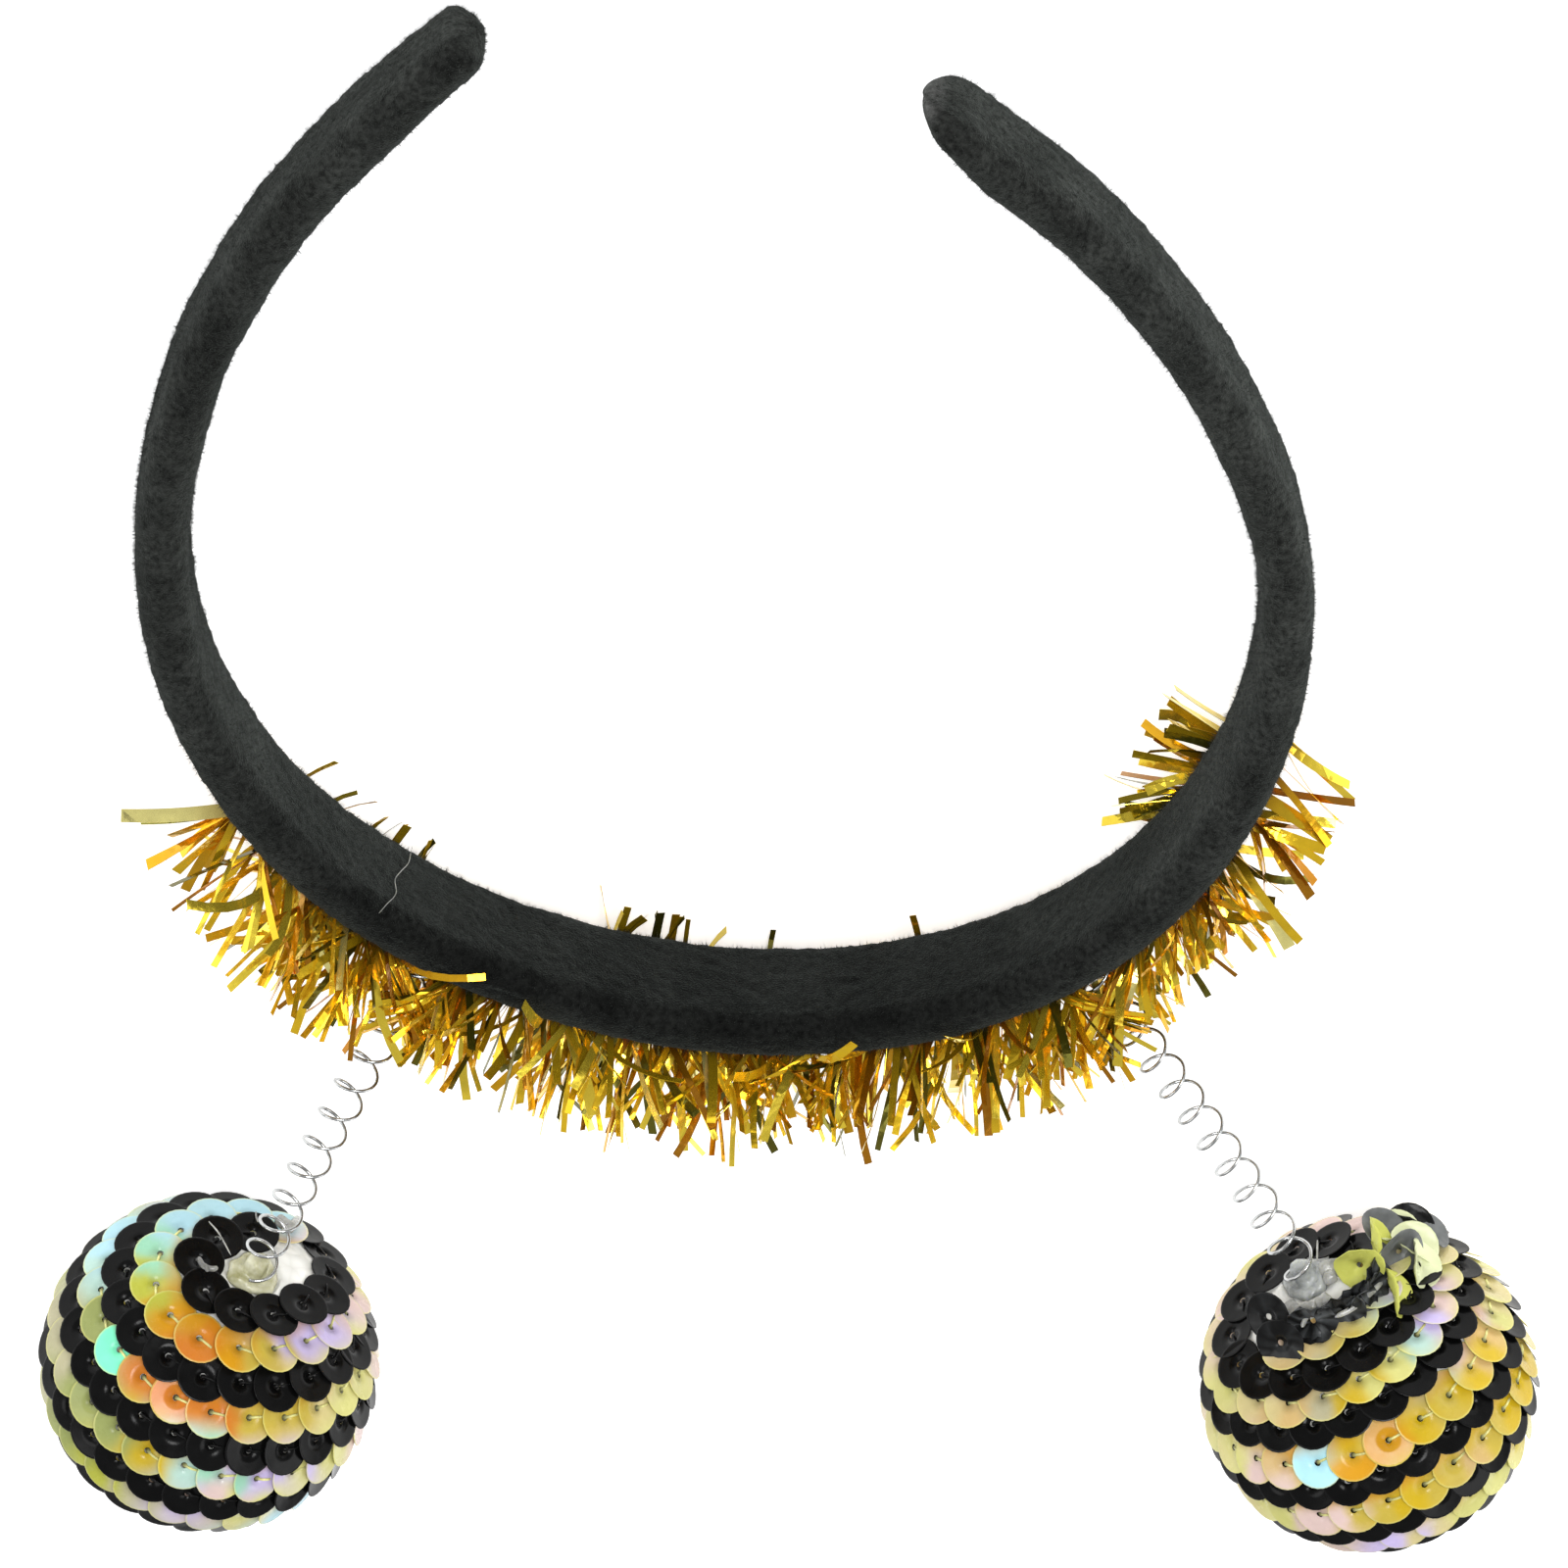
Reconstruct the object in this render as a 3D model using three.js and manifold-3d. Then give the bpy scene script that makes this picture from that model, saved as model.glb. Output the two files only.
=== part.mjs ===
// A costume headband: a padded fleece band with a garland of foil tinsel along the outside of its crown,
// and two sequin balls on wire springs. Millimetres, +Z up, lying on a surface at z = 0.
// The band's open ends point to +Y and the balls to -Y.

import * as THREE from 'three';
import { mergeVertices } from 'three/addons/utils/BufferGeometryUtils.js';
import Module from 'manifold-3d';

const wasm = await Module();
wasm.setup();

const UP = new THREE.Vector3(0, 0, 1);
const radians = THREE.MathUtils.degToRad;
const lerp = THREE.MathUtils.lerp;

// Clearance kept between two pieces that touch on the real headband.
const GAP = 0.35;

// The band lies in a plane of its own, tilted so that its ends meet the surface and the tinsel props its crown.
const RING_HEIGHT = 9.3;
const RING_TILT = radians(4);

// The band's sections, from the left end to the right. x and y place a section in the band's plane,
// wide is its size across the band and thick its size through it. rise lifts its middle out of that plane.
const BAND = [
  { x: -27.4, y: 66.9, rise: 0.4, wide: 10.0, thick: 5.4 },
  { x: -35.0, y: 58.8, rise: 0.3, wide: 10.6, thick: 5.8 },
  { x: -46.6, y: 44.0, rise: 0.1, wide: 10.5, thick: 5.8 },
  { x: -56.0, y: 24.5, wide: 10.8, thick: 5.8 },
  { x: -60.5, y: 0.5, wide: 12.0, thick: 5.8 },
  { x: -57.3, y: -21.5, wide: 13.2, thick: 5.9 },
  { x: -46.0, y: -41.8, wide: 14.4, thick: 6.0 },
  { x: -26.8, y: -57.0, wide: 14.8, thick: 6.0 },
  { x: 0.0, y: -65.4, wide: 15.2, thick: 6.0 },
  { x: 26.5, y: -62.2, wide: 15.2, thick: 6.0 },
  { x: 45.8, y: -49.2, wide: 14.8, thick: 6.0 },
  { x: 57.4, y: -28.8, wide: 13.6, thick: 5.9 },
  { x: 60.3, y: -4.0, wide: 12.2, thick: 5.8 },
  { x: 52.6, y: 21.0, wide: 11.2, thick: 5.8 },
  { x: 38.8, y: 42.6, rise: 0.3, wide: 11.8, thick: 5.8 },
  { x: 25.3, y: 56.0, rise: 0.8, wide: 12.2, thick: 5.6 },
];
const BAND_STEPS = 52;
const BAND_CORNER = 0.9; // corner radius, as a share of half the thickness
const BAND_CORNER_STEPS = 3;
const LEFT_TIP = 2.8; // the rounded end past the first section
const RIGHT_TIP = 6.5; // the tapered one past the last
const TIP_ANGLES = [32, 58, 76]; // degrees round those ends at which they have a section

// The garland's core runs along the outside of the band between two places, counted in rows of BAND.
const CORE_RADIUS = 0.8;
const CORE_SIDES = 6;
const CORE_STEPS = 44;
const CORE_FROM = 5.72;
const CORE_TO = 10.42;
const CORE_SAMPLES = 12;
const CORE_RISE = -1.7; // below the middle of the band, clear of the springs
// The garland's right end turns under the band: out is measured from the band's middle, below from its lower
// edge, and along past the end of the straight run.
const CORE_TURN = [
  { along: 1.6, out: 3.6, below: 0.8 },
  { along: 2.4, out: 1.2, below: 1.5 },
  { along: 2.4, out: -1.2, below: 1.6 },
];

// Locks of foil strips: flat blades that widen from the core to their tips.
const LOCKS = 82; // along the core
const LOCK_FAN = [0, 56, -52, 26, -78, 78, -26]; // degrees from straight out, up being positive, in turn
const LOCK_LENGTH = { least: 12.4, most: 16.4 };
const LOCK_BASE = 1.0;
const LOCK_TIP = 4.0;
const LOCK_THICK = 0.6;
const LOCK_LANDING = 0.85; // height of the middle of a tip that lies on the surface
const LOCK_SPREAD = 10; // degrees by which the fan's angles vary
const LOCK_LEAN = 0.35; // how far a lock may lean along the band, as a share of its length
const LOCK_SPRING_CLEAR = 4.4; // from a lock's middle line to a spring's axis
const LOCK_SEED = 7;
// The fan of locks at the turned end: turn is in degrees from the band's direction towards its inside.
const END_LOCKS_FROM = 0.973; // share of the core
const END_LOCKS = [
  { turn: 34, length: 13.0, fall: 0.06 },
  { turn: 60, length: 14.5, fall: 0.10 },
  { turn: 86, length: 15.0, fall: 0.12 },
  { turn: 110, length: 14.5, fall: 0.08 },
  { turn: 134, length: 13.0, fall: 0.04 },
];

// Springs: open coils of wire from a root on the band's outside to the ball's pole. row counts along BAND,
// rise is above the middle of the band.
const WIRE = 0.5;
const WIRE_SIDES = 5;
const COIL_RADIUS = 2.1;
const COIL_STEPS = 9; // for each turn
const ROOT_RISE = 2.0;
const AXIS_POINTS = 24; // at which a spring's axis is measured against the locks

// Balls: a foam core wound with two strings of sequins, black and gold, side by side. Each string lies in level
// rows round the pole, and steps from one row to the next over a share of its turn.
const FOAM_RADIUS = 17.4;
const FOAM_SIDES = 18;
const FOAM_ROWS = 11;
const POCKET = { radius: 3.3, depth: 0.9 };
const GLUE = { radius: 2.9, brim: 0.9, brimTop: 2.6, post: 1.4, postTop: 1.2, height: 3.4 };
const GLUE_SIDES = 9;
const SEQUIN_TUCKED = 18.0; // radius of the edge tucked under the row before
const SEQUIN_FREE = 19.15; // radius of the free edge, both on the strip's underside
const SEQUIN_THICK = 0.45;
const SEQUIN_HALF_ROW = 5.9; // degrees of the ball from the middle of a row to its edge
const ROW_LEAST = 15.8; // degrees from the pole to the row at the spring
const ROW_MOST = 166; // and to the row at the far side
const STRIP_STEPS = 14; // for each turn
const BALL_RADIUS = SEQUIN_FREE + SEQUIN_THICK;

// pole points from a ball's middle to where its spring enters. pitch is the degrees between neighbouring rows of one
// string, level the azimuth at which a row begins to be level, and step the share of a turn in which it steps. rows
// are the strings' first level rows, and from the steps of the turn at which they begin.
const BALLS = [
  {
    side: 'left',
    x: -59.2,
    y: -117.9,
    pole: [0.32, 0.943, 0.09],
    pitch: 25.2,
    level: 132,
    step: 0.27,
    rows: { black: 23.5, gold: 36.1 },
    from: { black: 4, gold: 6 },
    row: 6.78,
    turns: 11.3,
  },
  {
    side: 'right',
    x: 73.1,
    y: -121.3,
    pole: [-0.43, 0.899, -0.08],
    pitch: 24,
    level: -30,
    step: 0.3,
    rows: { black: 38.7, gold: 26.7 },
    from: { black: -4, gold: 0 },
    row: 9.56,
    turns: 11.6,
  },
];

const COLOURS = {
  fleece: { color: 0x232422, roughness: 0.95, metalness: 0 },
  foil: { color: 0xc9971f, roughness: 0.28, metalness: 0.9 },
  wire: { color: 0xb4b6b6, roughness: 0.3, metalness: 1 },
  foam: { color: 0xeeeeea, roughness: 0.85, metalness: 0 },
  glue: { color: 0xd9d7b4, roughness: 0.25, metalness: 0 },
  black: { color: 0x1a1a1b, roughness: 0.22, metalness: 0 },
  gold: { color: 0xdcc26a, roughness: 0.2, metalness: 0.1 },
};

// A repeatable stream of numbers between 0 and 1.
function numbers(seed) {
  let state = seed;
  return () => {
    state = (state * 1664525 + 1013904223) % 4294967296;
    return state / 4294967296;
  };
}

function piece(name, geometry, colour) {
  const mesh = new THREE.Mesh(geometry, new THREE.MeshStandardMaterial(COLOURS[colour]));
  mesh.name = name;
  return mesh;
}

// A closed skin through rings of points, with flat ends.
function loft(rings) {
  const count = rings[0].length;
  const position = rings.flatMap((ring) => ring.flatMap((p) => p.toArray()));
  const index = [];
  for (let r = 0; r + 1 < rings.length; r += 1) {
    for (let k = 0; k < count; k += 1) {
      const a = r * count + k;
      const b = r * count + ((k + 1) % count);
      index.push(a, b, a + count, b, b + count, a + count);
    }
  }
  const last = (rings.length - 1) * count;
  for (let k = 1; k + 1 < count; k += 1) {
    index.push(0, k + 1, k, last, last + k, last + k + 1);
  }
  const geometry = new THREE.BufferGeometry();
  geometry.setAttribute('position', new THREE.Float32BufferAttribute(position, 3));
  geometry.setIndex(index);
  return geometry;
}

function polygon(sides, radius) {
  const corners = [];
  for (let k = 0; k < sides; k += 1) {
    const angle = (2 * Math.PI * k) / sides;
    corners.push(new THREE.Vector2(radius * Math.cos(angle), radius * Math.sin(angle)));
  }
  return new THREE.Shape(corners);
}

function tube(path, sides, radius, steps) {
  return new THREE.ExtrudeGeometry(polygon(sides, radius), { steps, extrudePath: path, curveSegments: 1 });
}

function toSolid(geometry) {
  const bare = geometry.clone();
  bare.deleteAttribute('normal');
  bare.deleteAttribute('uv');
  const merged = mergeVertices(bare, 1e-4);
  const vertProperties = new Float32Array(merged.attributes.position.array);
  const triVerts = new Uint32Array(merged.index.array);
  return new wasm.Manifold(new wasm.Mesh({ numProp: 3, vertProperties, triVerts }));
}

function toGeometry(solid) {
  const { vertProperties, triVerts } = solid.getMesh();
  const geometry = new THREE.BufferGeometry();
  geometry.setAttribute('position', new THREE.BufferAttribute(vertProperties, 3));
  geometry.setIndex(new THREE.BufferAttribute(triVerts, 1));
  return geometry;
}

// The band

const bandMiddle = new THREE.CatmullRomCurve3(BAND.map((s) => new THREE.Vector3(s.x, s.y, s.rise ?? 0)));
const bandSizes = new THREE.CatmullRomCurve3(BAND.map((s) => new THREE.Vector3(s.wide, s.thick, 0)));

// The band at a place counted in rows of BAND: its middle, its directions and its size.
function bandAt(row) {
  const t = row / (BAND.length - 1);
  const along = bandMiddle.getTangent(t);
  const size = bandSizes.getPoint(t);
  const out = along.clone().cross(UP);
  return { middle: bandMiddle.getPoint(t), along, out, wide: size.x, thick: size.y };
}

// A point beside the band: out from its middle, up across its width and along its length.
function beside(section, out, up, along = 0) {
  return section.middle
    .clone()
    .addScaledVector(section.out, out)
    .addScaledVector(UP, up)
    .addScaledVector(section.along, along);
}

// A rounded rectangle round a section, scaled towards its middle and moved along the band.
function bandRing(section, scale = 1, along = 0) {
  const halfThick = section.thick / 2;
  const halfWide = section.wide / 2;
  const corner = BAND_CORNER * halfThick;
  const ring = [];
  for (let quarter = 0; quarter < 4; quarter += 1) {
    const outSign = quarter < 2 ? 1 : -1;
    const upSign = quarter === 0 || quarter === 3 ? 1 : -1;
    for (let k = 0; k <= BAND_CORNER_STEPS; k += 1) {
      const angle = (Math.PI / 2) * (quarter + k / BAND_CORNER_STEPS);
      const out = outSign * (halfThick - corner) + corner * Math.sin(angle);
      const up = upSign * (halfWide - corner) + corner * Math.cos(angle);
      ring.push(beside(section, scale * out, scale * up, along));
    }
  }
  return ring;
}

// The end of the band, which reaches along it past a section.
function bandTip(section, reach) {
  return TIP_ANGLES.map((degrees) => {
    const angle = radians(degrees);
    return bandRing(section, Math.cos(angle), reach * Math.sin(angle));
  });
}

function makeBand() {
  const rows = BAND.length - 1;
  const rings = bandTip(bandAt(0), -LEFT_TIP).reverse();
  for (let k = 0; k <= BAND_STEPS; k += 1) {
    rings.push(bandRing(bandAt((rows * k) / BAND_STEPS)));
  }
  rings.push(...bandTip(bandAt(rows), RIGHT_TIP));
  return piece('band', loft(rings), 'fleece');
}

// The springs

function springRoot(ball) {
  const section = bandAt(ball.row);
  return { at: beside(section, section.thick / 2 + GAP + WIRE, ROOT_RISE), out: section.out };
}

class Coil extends THREE.Curve {
  constructor(axis, turns) {
    super();
    this.axis = axis;
    this.turns = turns;
  }

  getPoint(t, target = new THREE.Vector3()) {
    const along = this.axis.getTangentAt(t);
    const side = UP.clone().cross(along).normalize();
    const top = along.clone().cross(side);
    const angle = 2 * Math.PI * this.turns * t;
    return target
      .copy(this.axis.getPointAt(t))
      .addScaledVector(side, COIL_RADIUS * Math.cos(angle))
      .addScaledVector(top, COIL_RADIUS * Math.sin(angle));
  }
}

// The ring's plane holds the band and the garland, and its tilt is turned about the X axis.
const ring = new THREE.Group();
ring.rotation.x = -RING_TILT;
ring.position.z = RING_HEIGHT;
ring.updateMatrixWorld(true);

function springAxis(ball) {
  const root = springRoot(ball);
  const start = ring.localToWorld(root.at.clone());
  const pole = new THREE.Vector3(...ball.pole).normalize();
  const brimTop = FOAM_RADIUS - POCKET.depth + GAP + GLUE.brim;
  const end = new THREE.Vector3(ball.x, ball.y, BALL_RADIUS).addScaledVector(pole, brimTop + GAP + WIRE / 2);
  const third = start.distanceTo(end) / 3;
  const leaving = end.clone().sub(start).normalize();
  return new THREE.CubicBezierCurve3(
    start,
    start.clone().addScaledVector(leaving, third),
    end.clone().addScaledVector(pole, third),
    end,
  );
}

function makeSpring(ball) {
  const coil = new Coil(springAxis(ball), ball.turns);
  const steps = Math.round(ball.turns * COIL_STEPS);
  return piece(`spring_${ball.side}`, tube(coil, WIRE_SIDES, WIRE / 2, steps), 'wire');
}

// The garland

function corePath() {
  const points = [];
  for (let k = 0; k <= CORE_SAMPLES; k += 1) {
    const section = bandAt(lerp(CORE_FROM, CORE_TO, k / CORE_SAMPLES));
    points.push(beside(section, section.thick / 2 + GAP + CORE_RADIUS, CORE_RISE));
  }
  const end = bandAt(CORE_TO);
  for (const turn of CORE_TURN) {
    points.push(beside(end, turn.out, -(end.wide / 2 + turn.below), turn.along));
  }
  return new THREE.CatmullRomCurve3(points);
}

// A flat blade from a point of the core, with its flat side turned by roll about its own direction.
function lock(from, direction, length, roll) {
  const across = UP.clone().cross(direction).normalize().applyAxisAngle(direction, roll);
  const through = direction.clone().cross(across);
  const rings = [
    { reach: 0, wide: LOCK_BASE },
    { reach: length, wide: LOCK_TIP },
  ].map(({ reach, wide }) => {
    const middle = from.clone().addScaledVector(direction, reach);
    const corners = [[1, 1], [-1, 1], [-1, -1], [1, -1]];
    return corners.map(([a, b]) => middle
      .clone()
      .addScaledVector(across, (a * wide) / 2)
      .addScaledVector(through, (b * LOCK_THICK) / 2));
  });
  return loft(rings);
}

// How near a lock's middle line comes to the axis of either spring.
function springClearance(from, direction, length, axes) {
  const line = new THREE.Line3(from, from.clone().addScaledVector(direction, length));
  const nearest = new THREE.Vector3();
  const distances = axes.flatMap((axis) => axis.map((p) => line.closestPointToPoint(p, true, nearest).distanceTo(p)));
  return Math.min(...distances);
}

// The length at which a lock's level tip comes down on the surface, or Infinity where it rises.
function lengthToSurface(from, direction) {
  const start = ring.localToWorld(from.clone());
  const fall = start.z - ring.localToWorld(from.clone().add(direction)).z;
  return fall > 0 ? (start.z - LOCK_LANDING) / fall : Infinity;
}

function makeTinsel() {
  const random = numbers(LOCK_SEED);
  const path = corePath();
  const axes = BALLS.map((ball) => springAxis(ball)
    .getPoints(AXIS_POINTS)
    .map((p) => ring.worldToLocal(p)));
  const locks = [];
  for (let k = 0; k < LOCKS; k += 1) {
    const section = bandAt(lerp(CORE_FROM, CORE_TO, (k + 0.5) / LOCKS));
    const from = beside(section, section.thick / 2 + GAP + CORE_RADIUS, CORE_RISE);
    const angle = radians(LOCK_FAN[k % LOCK_FAN.length] + LOCK_SPREAD * (random() - 0.5));
    const direction = section.out
      .clone()
      .multiplyScalar(Math.cos(angle))
      .addScaledVector(UP, Math.sin(angle))
      .addScaledVector(section.along, LOCK_LEAN * (2 * random() - 1))
      .normalize();
    const wanted = lerp(LOCK_LENGTH.least, LOCK_LENGTH.most, random());
    const length = Math.min(wanted, lengthToSurface(from, direction));
    const roll = length < wanted ? 0 : Math.PI * random();
    if (springClearance(from, direction, length, axes) > LOCK_SPRING_CLEAR) {
      locks.push(lock(from, direction, length, roll));
    }
  }
  const end = bandAt(CORE_TO);
  const tip = path.getPoint(END_LOCKS_FROM);
  for (const { turn, length, fall } of END_LOCKS) {
    const direction = end.along
      .clone()
      .applyAxisAngle(UP, radians(turn))
      .addScaledVector(UP, -fall)
      .normalize();
    locks.push(lock(tip, direction, Math.min(length, lengthToSurface(tip, direction)), 0));
  }
  let solid = toSolid(tube(path, CORE_SIDES, CORE_RADIUS, CORE_STEPS));
  for (const blade of locks) {
    solid = solid.add(toSolid(blade));
  }
  return piece('tinsel', toGeometry(solid), 'foil');
}

// The balls, with the pole along +Z

function turned(profile, sides) {
  const points = profile.map(([radius, height]) => new THREE.Vector2(radius, height));
  return new THREE.LatheGeometry(points, sides).rotateX(Math.PI / 2);
}

function makeFoam(ball) {
  const mouth = Math.asin(POCKET.radius / FOAM_RADIUS);
  const floor = FOAM_RADIUS - POCKET.depth;
  const profile = [[0, -FOAM_RADIUS]];
  for (let k = 1; k < FOAM_ROWS; k += 1) {
    const angle = lerp(Math.PI, mouth, k / (FOAM_ROWS - 1));
    profile.push([FOAM_RADIUS * Math.sin(angle), FOAM_RADIUS * Math.cos(angle)]);
  }
  profile.push([POCKET.radius, floor], [0, floor]);
  return piece(`foam_${ball.side}`, turned(profile, FOAM_SIDES), 'foam');
}

function makeGlue(ball) {
  const floor = FOAM_RADIUS - POCKET.depth + GAP;
  const profile = [
    [0, floor],
    [GLUE.radius, floor],
    [GLUE.brimTop, floor + GLUE.brim],
    [GLUE.post, floor + GLUE.brim],
    [GLUE.postTop, floor + GLUE.height],
    [0, floor + GLUE.height],
  ];
  return piece(`glue_${ball.side}`, turned(profile, GLUE_SIDES), 'glue');
}

// Degrees from the pole to a string at an azimuth.
function rowAt(ball, colour, azimuth) {
  const turn = (azimuth - ball.level) / 360;
  const whole = Math.floor(turn);
  const stepped = whole + THREE.MathUtils.smoothstep(turn - whole, 1 - ball.step, 1);
  return Math.max(ROW_LEAST, ball.rows[colour] + ball.pitch * stepped);
}

// A string of sequins as a shingled strip, wound from the pole towards the far side.
function sequinStrip(ball, colour) {
  const rings = [];
  let azimuth = (360 / STRIP_STEPS) * ball.from[colour];
  for (let row = rowAt(ball, colour, azimuth); row < ROW_MOST; row = rowAt(ball, colour, azimuth)) {
    const edges = [
      [row - SEQUIN_HALF_ROW, SEQUIN_TUCKED],
      [row - SEQUIN_HALF_ROW, SEQUIN_TUCKED + SEQUIN_THICK],
      [row + SEQUIN_HALF_ROW, SEQUIN_FREE + SEQUIN_THICK],
      [row + SEQUIN_HALF_ROW, SEQUIN_FREE],
    ];
    const theta = radians(azimuth);
    rings.push(edges.map(([degrees, radius]) => new THREE.Vector3()
      .setFromSphericalCoords(radius, radians(degrees), theta)
      .applyAxisAngle(new THREE.Vector3(1, 0, 0), Math.PI / 2)));
    azimuth += 360 / STRIP_STEPS;
  }
  return loft(rings);
}

function makeBall(ball) {
  const group = new THREE.Group();
  group.position.set(ball.x, ball.y, BALL_RADIUS);
  group.quaternion.setFromUnitVectors(UP, new THREE.Vector3(...ball.pole).normalize());
  group.add(
    makeFoam(ball),
    makeGlue(ball),
    piece(`sequins_black_${ball.side}`, sequinStrip(ball, 'black'), 'black'),
    piece(`sequins_gold_${ball.side}`, sequinStrip(ball, 'gold'), 'gold'),
  );
  return group;
}

ring.add(makeBand(), makeTinsel());
const headband = new THREE.Group();
headband.add(ring, ...BALLS.map(makeSpring), ...BALLS.map(makeBall));

// The origin is on the surface, under the middle of the whole.
const box = new THREE.Box3().setFromObject(headband, true);
const middle = box.getCenter(new THREE.Vector3());
headband.position.set(-middle.x, -middle.y, -box.min.z);

export default headband;
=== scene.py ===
"""The looks of a costume headband: fleece, foil tinsel, wire springs and sequin balls, round its CAD frame.

Lengths are in millimetres until a mesh is made. The band's open ends point to +Y, and the balls to -Y.
"""

import math

import bpy
import numpy as np
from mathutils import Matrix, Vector


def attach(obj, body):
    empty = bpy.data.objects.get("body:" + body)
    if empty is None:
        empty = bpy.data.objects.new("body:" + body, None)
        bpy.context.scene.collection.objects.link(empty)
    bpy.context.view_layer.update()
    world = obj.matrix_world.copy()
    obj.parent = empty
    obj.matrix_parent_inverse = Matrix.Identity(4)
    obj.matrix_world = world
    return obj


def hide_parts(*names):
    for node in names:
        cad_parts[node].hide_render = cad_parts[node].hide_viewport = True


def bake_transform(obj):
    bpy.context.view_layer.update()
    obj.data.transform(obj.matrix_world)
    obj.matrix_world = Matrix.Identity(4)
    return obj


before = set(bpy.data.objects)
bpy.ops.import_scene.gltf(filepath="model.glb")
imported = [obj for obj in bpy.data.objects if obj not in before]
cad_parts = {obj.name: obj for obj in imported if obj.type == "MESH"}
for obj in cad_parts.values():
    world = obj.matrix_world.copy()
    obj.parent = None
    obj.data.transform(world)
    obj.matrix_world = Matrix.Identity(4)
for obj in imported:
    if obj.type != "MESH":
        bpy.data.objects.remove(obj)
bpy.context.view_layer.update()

MM = 0.001
TURN = 2 * np.pi
UP = np.array([0.0, 0.0, 1.0])

# The part's own sizes, as in its source.
SHIFT = np.array([-6.851, 35.6635, -0.0316])  # puts the origin under the middle of the whole
RING_HEIGHT = 9.3
RING_TILT = math.radians(4)
BAND = np.array([  # x, y, rise, wide, thick
    (-27.4, 66.9, 0.4, 10.0, 5.4),
    (-35.0, 58.8, 0.3, 10.6, 5.8),
    (-46.6, 44.0, 0.1, 10.5, 5.8),
    (-56.0, 24.5, 0.0, 10.8, 5.8),
    (-60.5, 0.5, 0.0, 12.0, 5.8),
    (-57.3, -21.5, 0.0, 13.2, 5.9),
    (-46.0, -41.8, 0.0, 14.4, 6.0),
    (-26.8, -57.0, 0.0, 14.8, 6.0),
    (0.0, -65.4, 0.0, 15.2, 6.0),
    (26.5, -62.2, 0.0, 15.2, 6.0),
    (45.8, -49.2, 0.0, 14.8, 6.0),
    (57.4, -28.8, 0.0, 13.6, 5.9),
    (60.3, -4.0, 0.0, 12.2, 5.8),
    (52.6, 21.0, 0.0, 11.2, 5.8),
    (38.8, 42.6, 0.3, 11.8, 5.8),
    (25.3, 56.0, 0.8, 12.2, 5.6),
])
LEFT_TIP = 2.8
RIGHT_TIP = 6.5
GAP = 0.35
CORE_RADIUS = 0.8
CORE_FROM = 5.72
CORE_TO = 10.42
CORE_RISE = -1.7
CORE_TURN = [  # along, out, below
    (1.6, 3.6, 0.8),
    (2.4, 1.2, 1.5),
    (2.4, -1.2, 1.6),
]
WIRE = 0.5
COIL_RADIUS = 2.1
ROOT_RISE = 2.0
FOAM_RADIUS = 17.4
POCKET_RADIUS = 3.3
POCKET_DEPTH = 0.9
GLUE_BRIM = 0.9
BALL_RADIUS = 19.6
ROW_MOST = 168.0
# A string's rows are level from an azimuth on, and step to the next in a share of the turn. The first row
# lies further out by some degrees, no row is nearer the pole than the least, and rows swell at the sides.
BALLS = {
    "left": {
        "x": -59.2, "y": -117.9, "pole": (0.32, 0.943, 0.09), "row": 6.78, "turns": 11.3,
        "pitch": 25.2, "level": 132, "step": 0.27, "least": 18.3, "swell": 4.0,
        "rows": {"black": 18.6, "gold": 31.0}, "first": {"black": 0, "gold": 0},
        "from": {"black": 166, "gold": 140},
    },
    "right": {
        "x": 73.1, "y": -121.3, "pole": (-0.43, 0.899, -0.08), "row": 9.56, "turns": 11.6,
        "pitch": 24.0, "level": -30, "step": 0.3, "least": 20.0, "swell": 0.0,
        "rows": {"black": 34.2, "gold": 25.2}, "first": {"black": 6.2, "gold": 4.3},
        "from": {"black": -220, "gold": 4},
    },
}

# The camera stands on the side of the band's ends, looks down at the headband and sees the ends at the top.
ELEVATION = math.radians(46)
CAMERA_DISTANCE = 1250.0
CAMERA_AIM = np.array([-0.56, 2.07, 12.0])
CAMERA_LENS = 262.35
SENSOR = 36.0
TO_CAMERA = np.array([0.0, math.cos(ELEVATION), math.sin(ELEVATION)])
PICTURE_RIGHT = np.array([1.0, 0.0, 0.0])
PICTURE_UP = np.array([0.0, math.sin(ELEVATION), -math.cos(ELEVATION)])


# Curves and meshes

def unit(v):
    return v / np.linalg.norm(v, axis=-1, keepdims=True)


def weigh(*terms):
    """The sum of directions, each given with its amounts."""
    return sum(direction * np.asarray(amount)[..., None] for direction, amount in terms)


def smoothstep(low, high, value):
    t = np.clip((value - low) / (high - low), 0, 1)
    return t * t * (3 - 2 * t)


def between(table, place):
    """The values at places, from rows of (place, value)."""
    return np.interp(place, *zip(*table))


def linear(rgb):
    """A colour as a screen shows it, from 0 to 1, as linear light."""
    c = np.asarray(rgb, float)
    return np.where(c <= 0.04045, c / 12.92, ((c + 0.055) / 1.055) ** 2.4)


def running_length(line):
    """The length along a line up to each of its points."""
    return np.concatenate([[0], np.cumsum(np.linalg.norm(np.diff(line, axis=0), axis=1))])


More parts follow.
